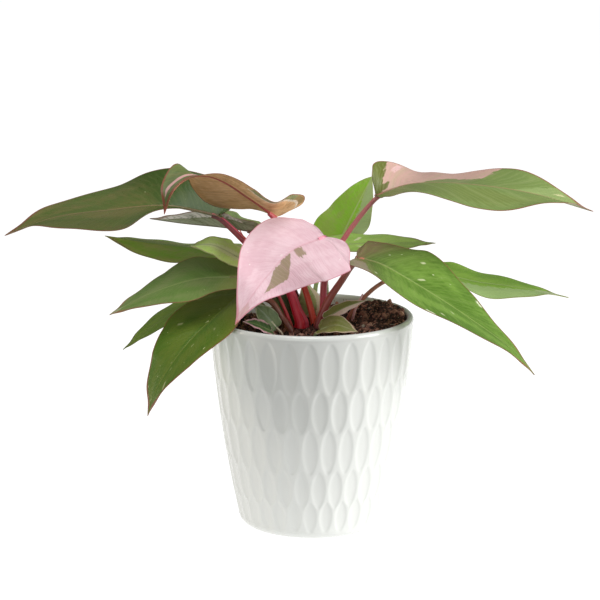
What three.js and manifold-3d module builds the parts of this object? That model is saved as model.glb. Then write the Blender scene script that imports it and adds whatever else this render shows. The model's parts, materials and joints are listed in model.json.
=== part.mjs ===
// A pink princess philodendron growing in a white pot with rows of scallops.
// Millimetres, +Z up, front towards -Y. The origin is the centre of the pot's flat base.
// Every leaf has two pieces: a petiole that rises from the stem, and a blade that it carries.
import * as THREE from "three";
import { mergeVertices } from "three/addons/utils/BufferGeometryUtils.js";
import Module from "manifold-3d";

const wasm = await Module();
wasm.setup();

// ---- Driving dimensions of the pot ----
const POT_HEIGHT = 146;
const RIM_RADIUS = 70;
const WALL_TAPER = 9; // how far the wall leans in over the height, as a straight line
const WALL_BOW = 12; // and how much more it curves in towards the base
const WALL = 5;
const FLOOR = 6;
const BASE_RADIUS = 44;
const CORNER_HEIGHT = 7; // the rounding between the base and the wall
const LIP_HEIGHT = 3; // the rounding of the rim
const SCALLOPS_AROUND = 31;
const SCALLOP_DEPTH = 1.3;
const SCALLOP_SHARE = 0.86; // width of a scallop as a share of its pitch
const SCALLOP_TURN = -1.2; // from the front to the nearest scallop of the top row, in degrees
const SCALLOP_POINT = 0.65; // 0.5 makes a scallop's outline an ellipse, and 1 sharply pointed
const SCALLOP_ROWS = [ // lower and upper tip of each row, which interlock a little
  [105, 141],
  [77.5, 108],
  [48, 80],
  [23.5, 50],
  [5, 27.5],
];

// ---- Driving dimensions of the plant and its soil ----
const GAP = 0.3; // clearance between pieces that touch
const SOIL_LEVEL = 137; // at the left and front
const SOIL_SLOPE = 0.05; // the soil rises a little towards the right
const SOIL_HEAP = { x: 44, y: 20, height: 9, spread: 21 };
const SOIL_LUMP = 1.1;
const SOIL_EDGE = 4; // the soil's side is plain up to this far below its level
const BLADE = 0.8; // thickness of a leaf blade
const STEM = [[-6.5, -6, 92], [-6.5, -6, 115], [-6.5, -6, 138]]; // nearly all of it under the soil
const STEM_RADIUS = 5;
const SHOOTS = [ // new leaves that are still rolled up, from the soil to their tips
  { name: "red_shoot", colour: "crimson", radii: [2.6, 0.4],
    points: [[-13, -9, 124], [-14, -9, 138], [-28, -8, 172], [-40, -6, 190], [-49, -2, 205]] },
  { name: "pink_shoot", colour: "pink", radii: [2, 0.6],
    points: [[27.5, -3, 124], [27.5, -3, 139], [30, -2.5, 150], [35, 0, 160]] },
];

// ---- Fineness ----
const COLUMNS_PER_SCALLOP = 4;
const AROUND = SCALLOPS_AROUND * COLUMNS_PER_SCALLOP;
const PETIOLE_SIDES = 8;
const BLADE_GRID = [16, 3]; // steps along the outline, and from the midrib to the edge
const YOUNG_BLADE_GRID = [10, 2];
const RINGS_PER_ROW = 3;
const SOIL_AROUND = 32;
const SOIL_SIDE_STEPS = 4;
const SOIL_RING_SHARES = [0.84, 0.66, 0.48, 0.26]; // rings on top, as shares of its radius

// ---- Colours ----
const COLOURS = {
  glaze: 0xf1f1ec,
  soil: 0x33211c,
  stem: 0x7a3a34,
  maroon: 0x6b2a30,
  crimson: 0xa83248,
  rose: 0xb9626a,
  sage: 0x8aa06a,
  pink: 0xecc3cd,
  green: 0x4f8a35,
  deep: 0x3f6a35,
  olive: 0x5c6e42,
  bronze: 0x957552,
};

function named(name, geometry, colour, roughness) {
  geometry.computeVertexNormals();
  const material = new THREE.MeshStandardMaterial({ color: COLOURS[colour], roughness, metalness: 0 });
  const mesh = new THREE.Mesh(geometry, material);
  mesh.name = name;
  return mesh;
}

// ---- Joining and cutting ----
function toSolid(geometry) {
  const bare = geometry.clone();
  bare.deleteAttribute("normal");
  bare.deleteAttribute("uv");
  const merged = mergeVertices(bare, 1e-4);
  return new wasm.Manifold(new wasm.Mesh({
    numProp: 3,
    vertProperties: new Float32Array(merged.attributes.position.array),
    triVerts: new Uint32Array(merged.index.array),
  }));
}

function toGeometry(solid) {
  const { vertProperties, triVerts } = solid.getMesh();
  const geometry = new THREE.BufferGeometry();
  geometry.setAttribute("position", new THREE.BufferAttribute(vertProperties, 3));
  geometry.setIndex(new THREE.BufferAttribute(triVerts, 1));
  return geometry;
}

// A closed skin over rings of equal length, closed at a point below and another above. Each
// four-sided cell is split along its shorter diagonal, which follows ridges and hollows.
function skinOverRings(bottom, rings, top) {
  const count = rings[0].length;
  const points = [bottom, ...rings.flat(), top];
  const last = points.length - 1;
  const index = [];
  const at = (ring, i) => 1 + ring * count + (i % count);
  for (let i = 0; i < count; i++) {
    index.push(0, at(0, i + 1), at(0, i));
    for (let ring = 0; ring < rings.length - 1; ring++) {
      const [a, b, c, d] = [at(ring, i), at(ring, i + 1), at(ring + 1, i + 1), at(ring + 1, i)];
      const splitsAtA = points[a].distanceTo(points[c]) < points[b].distanceTo(points[d]);
      index.push(...(splitsAtA ? [a, b, c, a, c, d] : [a, b, d, b, c, d]));
    }
    index.push(last, at(rings.length - 1, i), at(rings.length - 1, i + 1));
  }
  const geometry = new THREE.BufferGeometry().setFromPoints(points);
  geometry.setIndex(index);
  return geometry;
}

// ---- The pot ----
function wallRadius(z) {
  const below = (POT_HEIGHT - z) / POT_HEIGHT;
  return RIM_RADIUS - WALL_TAPER * below - WALL_BOW * below * below;
}

// A scallop is an oval whose outline comes to a blunt point at its upper and lower tips.
function scallopDepth(turn, z) {
  let depth = 0;
  SCALLOP_ROWS.forEach(([low, high], row) => {
    const along = (2 * z - low - high) / (high - low);
    if (Math.abs(along) >= 1) return;
    const halfWidth = SCALLOP_SHARE * (1 - along * along) ** SCALLOP_POINT;
    const shifted = (turn + 0.25) * SCALLOPS_AROUND + (row % 2) / 2;
    const across = 2 * Math.abs(shifted - Math.round(shifted)) / halfWidth;
    if (across >= 1) return;
    const hollow = SCALLOP_DEPTH * Math.sqrt(1 - along * along) * (1 - across * across);
    depth = Math.max(depth, hollow);
  });
  return depth;
}

function ringOf(count, radiusAt, heightAt) {
  const ring = [];
  for (let i = 0; i < count; i++) {
    const turn = i / count;
    const angle = 2 * Math.PI * turn;
    const [x, y] = [radiusAt(turn) * Math.cos(angle), radiusAt(turn) * Math.sin(angle)];
    ring.push(new THREE.Vector3(x, y, heightAt(x, y)));
  }
  return ring;
}

function makePot() {
  const rings = [];
  const addRing = (z, radiusAt) => rings.push(ringOf(AROUND, radiusAt, () => z));
  const plainRing = (z, radius) => addRing(z, () => radius);
  const cornerSteps = 3;
  for (let i = 0; i < cornerSteps; i++) {
    const angle = (i / cornerSteps) * Math.PI / 2;
    const reach = wallRadius(CORNER_HEIGHT) - BASE_RADIUS;
    plainRing(CORNER_HEIGHT * (1 - Math.cos(angle)), BASE_RADIUS + reach * Math.sin(angle));
  }
  const rowTop = SCALLOP_ROWS[0][1];
  const seams = SCALLOP_ROWS.slice(1).map(([, high], i) => (high + SCALLOP_ROWS[i][0]) / 2);
  seams.unshift(rowTop);
  seams.push(CORNER_HEIGHT);
  seams.reverse();
  for (let row = 0; row < seams.length - 1; row++) {
    for (let i = 0; i < RINGS_PER_ROW; i++) {
      const z = THREE.MathUtils.lerp(seams[row], seams[row + 1], i / RINGS_PER_ROW);
      addRing(z, (turn) => wallRadius(z) - scallopDepth(turn, z));
    }
  }
  plainRing(rowTop, wallRadius(rowTop));
  const lipSteps = 3;
  for (let i = 0; i <= lipSteps; i++) {
    const angle = Math.PI * i / lipSteps;
    const middle = RIM_RADIUS - WALL / 2;
    plainRing(
      POT_HEIGHT - LIP_HEIGHT * (1 - Math.sin(angle)),
      middle + WALL / 2 * Math.cos(angle),
    );
  }
  const innerSteps = 3;
  for (let i = 1; i <= innerSteps; i++) {
    const z = POT_HEIGHT - LIP_HEIGHT - (POT_HEIGHT - LIP_HEIGHT - FLOOR) * i / innerSteps;
    plainRing(z, wallRadius(z) - WALL);
  }
  const base = new THREE.Vector3(0, 0, 0);
  const floor = new THREE.Vector3(0, 0, FLOOR);
  return skinOverRings(base, rings, floor).rotateZ(THREE.MathUtils.degToRad(SCALLOP_TURN));
}

// ---- The soil ----
function soilHeight(x, y) {
  const { x: heapX, y: heapY, height, spread } = SOIL_HEAP;
  const fromHeap = ((x - heapX) ** 2 + (y - heapY) ** 2) / (2 * spread ** 2);
  const lumps = Math.sin(0.31 * x + 0.17 * y) * Math.cos(0.27 * y - 0.12 * x)
    + 0.6 * Math.sin(0.63 * x - 0.41 * y + 1) * Math.sin(0.52 * y + 0.3 * x);
  return SOIL_LEVEL + SOIL_SLOPE * x + height * Math.exp(-fromHeap) + SOIL_LUMP * lumps;
}

// The soil fills the pot from its floor. Each petiole and the stem stand in a plain hole.
function makeSoil(holes) {
  const rings = [];
  const innerRadius = (z) => wallRadius(z) - WALL - GAP;
  for (let i = 0; i <= SOIL_SIDE_STEPS; i++) {
    const z = THREE.MathUtils.lerp(FLOOR + GAP, SOIL_LEVEL - SOIL_EDGE, i / SOIL_SIDE_STEPS);
    rings.push(ringOf(SOIL_AROUND, () => innerRadius(z), () => z));
  }
  const radius = innerRadius(SOIL_LEVEL);
  rings.push(ringOf(SOIL_AROUND, () => radius, soilHeight));
  for (const share of SOIL_RING_SHARES) {
    rings.push(ringOf(SOIL_AROUND, () => share * radius, soilHeight));
  }
  const bottom = new THREE.Vector3(0, 0, FLOOR + GAP);
  const top = new THREE.Vector3(0, 0, soilHeight(0, 0));
  let soil = toSolid(skinOverRings(bottom, rings, top));
  for (const hole of holes) soil = soil.subtract(toSolid(hole));
  return toGeometry(soil);
}

// ---- Curves and tapering round stalks ----
function curveThrough(points) {
  return new THREE.CatmullRomCurve3(points.map((p) => new THREE.Vector3(...p)), false, "centripetal");
}

// A capped cylinder bent along a curve, from one radius to another. With extra it is the hole for one.
function makeStalk(curve, [footRadius, tipRadius], extra = 0) {
  const stations = Math.max(3, Math.round(curve.getLength() / 13));
  const geometry = new THREE.CylinderGeometry(1, 1, 1, PETIOLE_SIDES, stations);
  const frames = curve.computeFrenetFrames(stations);
  const position = geometry.attributes.position;
  for (let i = 0; i < position.count; i++) {
    const u = position.getY(i) + 0.5;
    const station = Math.round(u * stations);
    const radius = THREE.MathUtils.lerp(footRadius, tipRadius, Math.sqrt(u)) + extra;
    const point = curve.getPointAt(u)
      .addScaledVector(frames.normals[station], radius * position.getX(i))
      .addScaledVector(frames.binormals[station], -radius * position.getZ(i));
    if (u === 0) point.z -= extra;
    position.setXYZ(i, point.x, point.y, point.z);
  }
  return geometry;
}

// ---- Leaf blades ----
// The outline of one half of a blade, from the notch at the petiole round the basal lobe to the tip.
// Each point has a share of the blade's length ahead of the petiole, or of the lobe's reach where it
// is negative, and a share of the half's width.
const outlineThrough = (...points) => new THREE.SplineCurve(points.map((p) => new THREE.Vector2(...p)));
const LANCE_TIP = [[0.27, 1], [0.52, 0.92], [0.76, 0.55], [0.92, 0.16], [1, 0]];
const SLIM_TIP = [[0.27, 1], [0.5, 0.86], [0.73, 0.44], [0.91, 0.12], [1, 0]];
const OUTLINES = {
  heart: outlineThrough(
    [0, 0], [-0.8, 0.2], [-1, 0.52], [-0.15, 0.84], [0.2, 1], [0.45, 0.86], [0.72, 0.5], [0.9, 0.15], [1, 0],
  ),
  broad: outlineThrough(
    [0, 0], [-0.9, 0.22], [-0.97, 0.5], [-0.28, 0.81], [0.12, 1.02], [0.36, 0.88], [0.6, 0.47], [0.82, 0.15],
    [1, 0],
  ),
  spade: outlineThrough(
    [0, 0], [-0.9, 0.22], [-0.97, 0.5], [-0.28, 0.81], [0.15, 1], [0.42, 0.76], [0.63, 0.56], [0.86, 0.31],
    [1, 0],
  ),
  oval: outlineThrough(
    [0, 0], [-0.8, 0.15], [-1, 0.35], [0.03, 0.62], [0.26, 0.96], [0.48, 0.96], [0.74, 0.6], [0.91, 0.2],
    [1, 0],
  ),
  lance: outlineThrough([0, 0], [-0.8, 0.2], [-1, 0.5], [0.04, 0.8], ...LANCE_TIP),
  shoulder: outlineThrough([0, 0], [0.004, 0.24], [0.02, 0.48], [0.08, 0.72], ...LANCE_TIP),
  slim: outlineThrough([0, 0], [0.004, 0.24], [0.03, 0.46], [0.1, 0.72], ...SLIM_TIP),
  drop: outlineThrough([0, 0], [-0.8, 0.15], [-1, 0.35], [0.03, 0.62], ...SLIM_TIP),
  taper: outlineThrough(
    [0, 0], [0.03, 0.1], [0.08, 0.28], [0.16, 0.6], [0.3, 0.95], [0.52, 1], [0.74, 0.62], [0.91, 0.18],
    [1, 0],
  ),
  hood: outlineThrough(
    [0, 0], [-0.5, 0.3], [-1, 0.8], [-0.7, 1], [0.04, 0.82], [0.3, 0.75], [0.62, 0.54], [0.85, 0.28], [1, 0],
  ),
};
const FAN_SHARE = 0.36; // veins up to this share of the outline all leave the midrib at its base
const VEIN_SWEEP = 1.3; // how the feet of the other veins spread along the midrib

// A smooth reading of values that are given at even steps from the base to the tip.
function valueAlong(values, u) {
  const graph = new THREE.SplineCurve(values.map((value, i) => new THREE.Vector2(i, value)));
  return graph.getPoint(u).y;
}

// How the face of a blade stands at a point of its midrib.
function bladeFrame(leaf, curve, u) {
  const along = curve.getTangentAt(u);
  const level = new THREE.Vector3(0, 0, 1).addScaledVector(along, -along.z).normalize();
  const left = new THREE.Vector3().crossVectors(level, along);
  const roll = THREE.MathUtils.degToRad(valueAlong(leaf.roll, u));
  const face = level.clone().multiplyScalar(Math.cos(roll)).addScaledVector(left, Math.sin(roll));
  const side = left.clone().multiplyScalar(Math.cos(roll)).addScaledVector(level, -Math.sin(roll));
  return { along, face, side };
}

// A point of a blade: s runs along the outline from the notch to the tip, r from midrib to edge.
function bladePoint(leaf, curve, half, s, r) {
  const edge = OUTLINES[half.outline].getPoint(s);
  const foot = Math.pow(Math.max(0, s - FAN_SHARE) / (1 - FAN_SHARE), VEIN_SWEEP);
  const u = THREE.MathUtils.lerp(foot, edge.x, r);
  const across = r * edge.y * half.width;
  const ahead = THREE.MathUtils.clamp(u, 0, 1);
  const frame = bladeFrame(leaf, curve, ahead);
  const rise = THREE.MathUtils.degToRad(valueAlong(half.lift, ahead));
  const wave = leaf.wave[0] * r * r * edge.y * Math.sin(2 * Math.PI * leaf.wave[1] * s + leaf.wave[2]);
  const sign = half === leaf.left ? 1 : -1;
  return curve.getPointAt(ahead)
    .addScaledVector(frame.along, Math.min(0, u) * half.lobe)
    .addScaledVector(frame.side, sign * across * Math.cos(rise))
    .addScaledVector(frame.face, across * Math.sin(rise) + wave);
}

function makeBlade(leaf) {
  const curve = curveThrough(leaf.midrib);
  const isYoung = leaf.name.startsWith("young");
  const [rows, columns] = isYoung ? YOUNG_BLADE_GRID : BLADE_GRID;
  const points = [];
  const triangles = [];
  const known = new Map();
  const pointAt = (half, s, r) => {
    const point = bladePoint(leaf, curve, half, s, r);
    const key = point.toArray().map((v) => v.toFixed(3)).join();
    if (!known.has(key)) known.set(key, points.push(point) - 1);
    return known.get(key);
  };
  const addTriangle = (a, b, c) => {
    if (a !== b && b !== c && c !== a) triangles.push([a, b, c]);
  };
  for (const half of [leaf.left, leaf.right]) {
    for (let row = 0; row < rows; row++) {
      for (let column = 0; column < columns; column++) {
        const [near, far] = [column / columns, (column + 1) / columns];
        const [back, ahead] = [row / rows, (row + 1) / rows];
        const corners = [[back, near], [back, far], [ahead, far], [ahead, near]];
        const [a, b, c, d] = corners.map(([s, r]) => pointAt(half, s, r));
        if (half === leaf.left) {
          addTriangle(a, c, b);
          addTriangle(a, d, c);
        } else {
          addTriangle(a, b, c);
          addTriangle(a, c, d);
        }
      }
    }
  }
  return thicken(points, triangles);
}

// Gives a sheet of triangles its thickness: the same triangles on both faces, and a rim between them.
function thicken(points, triangles) {
  const normals = points.map(() => new THREE.Vector3());
  const rim = new Map();
  for (const [a, b, c] of triangles) {
    const normal = new THREE.Triangle(points[a], points[b], points[c]).getNormal(new THREE.Vector3());
    for (const i of [a, b, c]) normals[i].add(normal);
    for (const [from, to] of [[a, b], [b, c], [c, a]]) {
      if (!rim.delete(to + ">" + from)) rim.set(from + ">" + to, [from, to]);
    }
  }
  const offset = points.length;
  const face = (side) => points.map((point, i) => {
    return point.clone().addScaledVector(normals[i].normalize(), side * BLADE / 2);
  });
  const geometry = new THREE.BufferGeometry().setFromPoints([...face(1), ...face(-1)]);
  const index = [];
  for (const [a, b, c] of triangles) {
    index.push(a, b, c);
    index.push(a + offset, c + offset, b + offset);
  }
  for (const [from, to] of rim.values()) {
    index.push(from, to + offset, to);
    index.push(from, from + offset, to + offset);
  }
  geometry.setIndex(index);
  return geometry;
}

// ---- The leaves ----
// midrib: points from the petiole to the tip. roll: how far the face turns to its left, in degrees.
// Each half has its width, how far its basal lobe reaches behind the petiole, and how far it is
// lifted out of the face, in degrees. Rolls and lifts are given at even steps from the base to the
// tip. wave: height of the edge's waves, their number and their phase.
// stalk: the petiole's points from its foot in the soil. radii: of its foot and of its tip.
const LEAVES = [
  {
    name: "far_left_leaf", colour: "olive", stalkColour: "maroon",
    midrib: [[-63, 8, 213], [-99, 12, 219], [-138, 18, 215], [-177, 22, 209], [-212, 25, 196]],
    roll: [20, 18, 15, 15, 15], wave: [1, 3, 0],
    left: { outline: "lance", width: 34, lobe: 4, lift: [30, 29, 21, 4, 0, 0, 3, 18, 28] },
    right: { outline: "lance", width: 34, lobe: 8, lift: [30, 30, 22, 18, 8, 4, 6, 18, 24] },
    stalk: [
      [-6.5, -6, 138.4], [-6.5, -6, 141], [-10, -4, 150],
      [-15, -3, 163], [-31, 0, 182], [-47, 6, 197],
    ],
    radii: [4.7, 2],
  },
  {
    name: "left_back_leaf", colour: "sage", stalkColour: "maroon",
    midrib: [[-39, 18, 200], [-60, 22, 202.5], [-88, 26, 204.5], [-112, 30, 207]],
    roll: [-13, -13], wave: [0.6, 2, 0],
    left: { outline: "lance", width: 16, lobe: 6, lift: [33, 33] },
    right: { outline: "oval", width: 22, lobe: 6, lift: [36, 24] },
    stalk: [[-4, 10, 124], [-5, 10, 138], [-15, 14, 168], [-28, 17, 190]],
    radii: [2.2, 1.5],
  },
  {
    name: "twisted_leaf", colour: "bronze", stalkColour: "crimson",
    midrib: [
      [-25, 2, 213], [-32, 0, 219], [-45, -6, 229.5], [-58, -14, 239.5],
      [-70, -21, 245], [-82, -27, 244.5], [-92, -33, 237], [-98, -38, 222],
    ],
    roll: [-24, -20, -22, -25, 15, 45, 50], wave: [0.5, 2, 1],
    left: { outline: "hood", width: 24, lobe: 9, lift: [60, 6, -8, -10, -11, -8, 12, 36, 70, 80, 80] },
    right: { outline: "taper", width: 25, lobe: 1, lift: [12, 4, -14, -18, -14, -6, -13, 5, -10, 10, 0] },
    stalk: [[2, 3, 124], [1.5, 3, 138], [-5, 6, 163], [-15, 6, 190]],
    radii: [3.4, 1.8],
  },
  {
    name: "pink_leaf", colour: "pink", stalkColour: "crimson",
    midrib: [[9, -12, 202], [-14, -22, 194], [-30, -33, 179], [-39, -43, 169], [-51, -52, 150]],
    roll: [38, 38], wave: [0.8, 2, 0],
    left: { outline: "broad", width: 36, lobe: 9, lift: [6, 2] },
    right: { outline: "slim", width: 30, lobe: 1, lift: [0, 3, 5] },
    stalk: [[9, 7, 124], [8, 6, 138], [8, 4, 166], [10, 2, 188]],
    radii: [2.8, 1.8],
  },
  {
    name: "far_right_leaf", colour: "green", stalkColour: "rose",
    midrib: [[44, 6, 227], [65, 9, 234], [88, 12, 235], [124, 19, 231], [157, 25, 224], [195, 30, 212]],
    roll: [-20, 0, -8, -18, -16, -10], wave: [0.8, 3, 2],
    left: { outline: "shoulder", width: 34, lobe: 1, lift: [62, 27, 9, 2, -6, -4, 3, 14, 19, 17, 0] },
    right: { outline: "shoulder", width: 34, lobe: 1, lift: [22, -2, -12, -3, 17, 35] },
    stalk: [
      [8, -2, 124], [7.5, -2, 138], [8, -3, 158], [8.5, -3, 168],
      [11.5, -1, 180], [18, 2, 192], [32, 5, 212],
    ],
    radii: [3.6, 1.7],
  },
  {
    name: "upright_leaf", colour: "green", stalkColour: "sage",
    midrib: [[19, 58, 183], [29, 60, 204], [43, 64, 231]],
    roll: [-45, -45], wave: [1.5, 3, 0],
    left: { outline: "spade", width: 25, lobe: 4, lift: [0, 0] },
    right: { outline: "oval", width: 15, lobe: 1, lift: [0, 0] },
    stalk: [[3, 17, 124], [3, 18, 138], [3, 32, 158], [8.5, 46.5, 169.5]],
    radii: [2.3, 1.2],
  },
  {
    name: "right_back_leaf", colour: "green", stalkColour: "sage",
    midrib: [[10, 26, 188], [37, 32, 189], [61, 38, 188], [87, 44, 187]],
    roll: [-10, -10], wave: [1, 3, 0],
    left: { outline: "lance", width: 17, lobe: 5, lift: [6, 4] },
    right: { outline: "lance", width: 17, lobe: 5, lift: [0, 0] },
    stalk: [[12, 15, 124], [12, 16, 138], [10, 22, 165]],
    radii: [2.2, 1.5],
  },
  {
    name: "front_right_leaf", colour: "green", stalkColour: "maroon",
    midrib: [
      [31, -4, 186], [46, -10, 183], [65, -18, 174],
      [102, -36, 153.5], [134, -50, 132], [148, -56, 117],
    ],
    roll: [-16, -14, -8, -4, 0], wave: [1, 3, 0],
    left: { outline: "drop", width: 32, lobe: 3, lift: [10, 13, 5, 0, 0] },
    right: { outline: "lance", width: 32, lobe: 1, lift: [16, 14, 10, 7, 6] },
    stalk: [[3.5, -10, 124], [3.5, -10, 138], [11, -9, 157], [19, -7, 169]],
    radii: [4.2, 2.2],
  },
  {
    name: "right_leaf", colour: "green", stalkColour: "rose",
    midrib: [[75, 22, 174], [114, 27, 163], [145, 31, 158], [180, 35, 150]],
    roll: [-5, -5], wave: [1, 3, 0],
    left: { outline: "lance", width: 23, lobe: 5, lift: [0, 10, 5, 0, 0] },
    right: { outline: "lance", width: 23, lobe: 5, lift: [0, -2, -9, -5, 22] },
    stalk: [[23, 2, 124], [24, 2, 138], [30, 5, 149], [47, 12, 164]],
    radii: [2, 1.5],
  },
  {
    name: "left_rear_leaf", colour: "green", stalkColour: "sage",
    midrib: [[-53, 32, 186], [-84, 38, 185], [-113, 44, 187], [-145, 50, 191]],
    roll: [7, 7], wave: [1, 3, 0],
    left: { outline: "lance", width: 20, lobe: 5, lift: [-10, -10, -15, -27, -35] },
    right: { outline: "lance", width: 20, lobe: 5, lift: [-10, -8, -8, -10, -10] },
    stalk: [[-11, 8, 124], [-11, 9, 138], [-23, 18, 165], [-38, 27, 182]],
    radii: [2.2, 1.5],
  },
  {
    name: "small_left_leaf", colour: "green", stalkColour: "sage",
    midrib: [[-49, 4, 184], [-68, 0, 194], [-83, -4, 194]],
    roll: [25, 25], wave: [0.5, 2, 0],
    left: { outline: "lance", width: 15, lobe: 4, lift: [0, 0] },
    right: { outline: "lance", width: 12, lobe: 4, lift: [25, 0, -15] },
    stalk: [[-17, 5, 124], [-17, 5, 138], [-28, 6, 158], [-40, 6, 175]],
    radii: [1.7, 1.2],
  },
  {
    name: "left_leaf", colour: "green", stalkColour: "maroon",
    midrib: [[-51, -6, 173], [-76, -12, 173], [-93, -18, 170], [-114, -24, 163], [-136, -30, 152]],
    roll: [14, 14], wave: [0.8, 3, 0],
    left: { outline: "lance", width: 24, lobe: 5, lift: [0, 0, -3, 0, 0] },
    right: { outline: "lance", width: 24, lobe: 5, lift: [14, 12, -3, -12, -5] },
    stalk: [[-16, -2, 124], [-17, -2, 138], [-27, -3, 155], [-39, -4, 166]],
    radii: [2.5, 1.6],
  },
  {
    name: "low_left_leaf", colour: "green", stalkColour: "sage",
    midrib: [[-63, 32, 156], [-85, 27, 148], [-107, 22, 135], [-131, 16, 117]],
    roll: [8, 8], wave: [0.8, 3, 0],
    left: { outline: "lance", width: 16, lobe: 4, lift: [0, 0] },
    right: { outline: "lance", width: 16, lobe: 4, lift: [0, 0] },
    stalk: [[-23, 4, 124], [-23, 5, 138], [-35, 14, 150], [-50, 25, 154]],
    radii: [1.8, 1.3],
  },
  {
    name: "front_left_leaf", colour: "green", stalkColour: "maroon",
    midrib: [
      [-45, -9, 166], [-66, -26, 149], [-79, -40, 139],
      [-92, -51, 125], [-103, -59, 108], [-109, -64, 91],
    ],
    roll: [0, 0], wave: [0.8, 3, 0],
    left: { outline: "lance", width: 27, lobe: 2, lift: [0, 5, 3, 14] },
    right: { outline: "lance", width: 28, lobe: 3, lift: [2, 12, 10, 0] },
    stalk: [[-14, -17, 124], [-14.4, -17, 138], [-21, -15, 148], [-27, -14, 157], [-36, -13, 161]],
    radii: [3.4, 1.8],
  },
  {
    name: "young_round_leaf", colour: "green", stalkColour: "sage",
    midrib: [[6, -30, 142], [17, -35, 146], [31, -38, 142]],
    roll: [-40, -40], wave: [0.5, 1, 0],
    left: { outline: "heart", width: 10, lobe: 2, lift: [0, 0] },
    right: { outline: "heart", width: 9, lobe: 2, lift: [30, 0] },
    stalk: [[2, -27, 126], [2, -27, 137]],
    radii: [1.3, 1],
  },
  {
    name: "young_rolled_leaf", colour: "green", stalkColour: "sage",
    midrib: [[10, -17, 147], [23, -16, 154], [37, -16, 159]],
    roll: [-20, -20], wave: [0.5, 1, 0],
    left: { outline: "lance", width: 7, lobe: 2, lift: [10, 10] },
    right: { outline: "lance", width: 7, lobe: 2, lift: [10, 10] },
    stalk: [[9, -18, 126], [9, -18, 138]],
    radii: [1.2, 0.9],
  },
  {
    name: "young_left_leaf", colour: "deep", stalkColour: "sage",
    midrib: [[-28, -33, 142], [-37, -37, 147], [-46, -41, 150]],
    roll: [20, 20], wave: [0.5, 1, 0],
    left: { outline: "heart", width: 9, lobe: 2, lift: [5, 5] },
    right: { outline: "heart", width: 9, lobe: 2, lift: [5, 5] },
    stalk: [[-24, -30, 126], [-24, -30, 136]],
    radii: [1.2, 0.9],
  },
  {
    name: "young_upright_leaf", colour: "deep", stalkColour: "sage",
    midrib: [[-24, -22, 142], [-30, -22, 149], [-39, -21, 158]],
    roll: [60, 60], wave: [0.5, 1, 0],
    left: { outline: "lance", width: 7, lobe: 1, lift: [5, 5] },
    right: { outline: "lance", width: 7, lobe: 1, lift: [5, 5] },
    stalk: [[-20, -20, 126], [-20, -20, 136]],
    radii: [1.2, 0.9],
  },
  {
    name: "young_middle_leaf", colour: "sage", stalkColour: "sage",
    midrib: [[-1, 9, 145], [-2, 12, 156], [-5, 15, 167]],
    roll: [0, 0], wave: [0.3, 1, 0],
    left: { outline: "lance", width: 9, lobe: 2, lift: [0, 0] },
    right: { outline: "lance", width: 9, lobe: 2, lift: [0, 0] },
    stalk: [[4, 9, 126], [3, 9, 138]],
    radii: [1.1, 0.8],
  },
  {
    name: "young_dark_leaf", colour: "deep", stalkColour: "sage",
    midrib: [[-14, 3, 145], [-19, 2, 154], [-27, 1, 165]],
    roll: [40, 40], wave: [0.3, 1, 0],
    left: { outline: "lance", width: 8, lobe: 2, lift: [0, 0] },
    right: { outline: "lance", width: 8, lobe: 2, lift: [0, 0] },
    stalk: [[-12, 4, 126], [-12, 4, 138]],
    radii: [1.1, 0.8],
  },
];

// A petiole ends just under the blade's base.
function stalkCurve(leaf) {
  const { face } = bladeFrame(leaf, curveThrough(leaf.midrib), 0);
  const under = BLADE / 2 + GAP + leaf.radii[1];
  const tip = new THREE.Vector3(...leaf.midrib[0]).addScaledVector(face, -under);
  return curveThrough([...leaf.stalk, tip.toArray()]);
}

// ---- Assembly ----
const plant = new THREE.Group();
const holes = [];
function addStalk(name, curve, radii, colour) {
  plant.add(named(name, makeStalk(curve, radii), colour, 0.4));
  holes.push(makeStalk(curve, radii, GAP));
}

plant.add(named("pot", makePot(), "glaze", 0.15));
addStalk("stem", curveThrough(STEM), [STEM_RADIUS, STEM_RADIUS], "stem");
for (const shoot of SHOOTS) {
  addStalk(shoot.name, curveThrough(shoot.points), shoot.radii, shoot.colour);
}
for (const leaf of LEAVES) {
  plant.add(named(leaf.name, makeBlade(leaf), leaf.colour, 0.45));
  addStalk(leaf.name.replace("leaf", "petiole"), stalkCurve(leaf), leaf.radii, leaf.stalkColour);
}
plant.add(named("soil", makeSoil(holes), "soil", 0.95));

export default plant;
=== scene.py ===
# %% [markdown]
# # A pink princess philodendron in a scalloped pot
#
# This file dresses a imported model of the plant. The model gives every piece its place and size:
# a pot, its soil, petioles and leaf blades. Here each of them gets a finer mesh and a material.
# Lengths in the tables are millimetres, as a gardener would measure them, and MM turns them into
# Blender's metres.

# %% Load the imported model
import json
import math
from collections import namedtuple

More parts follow.
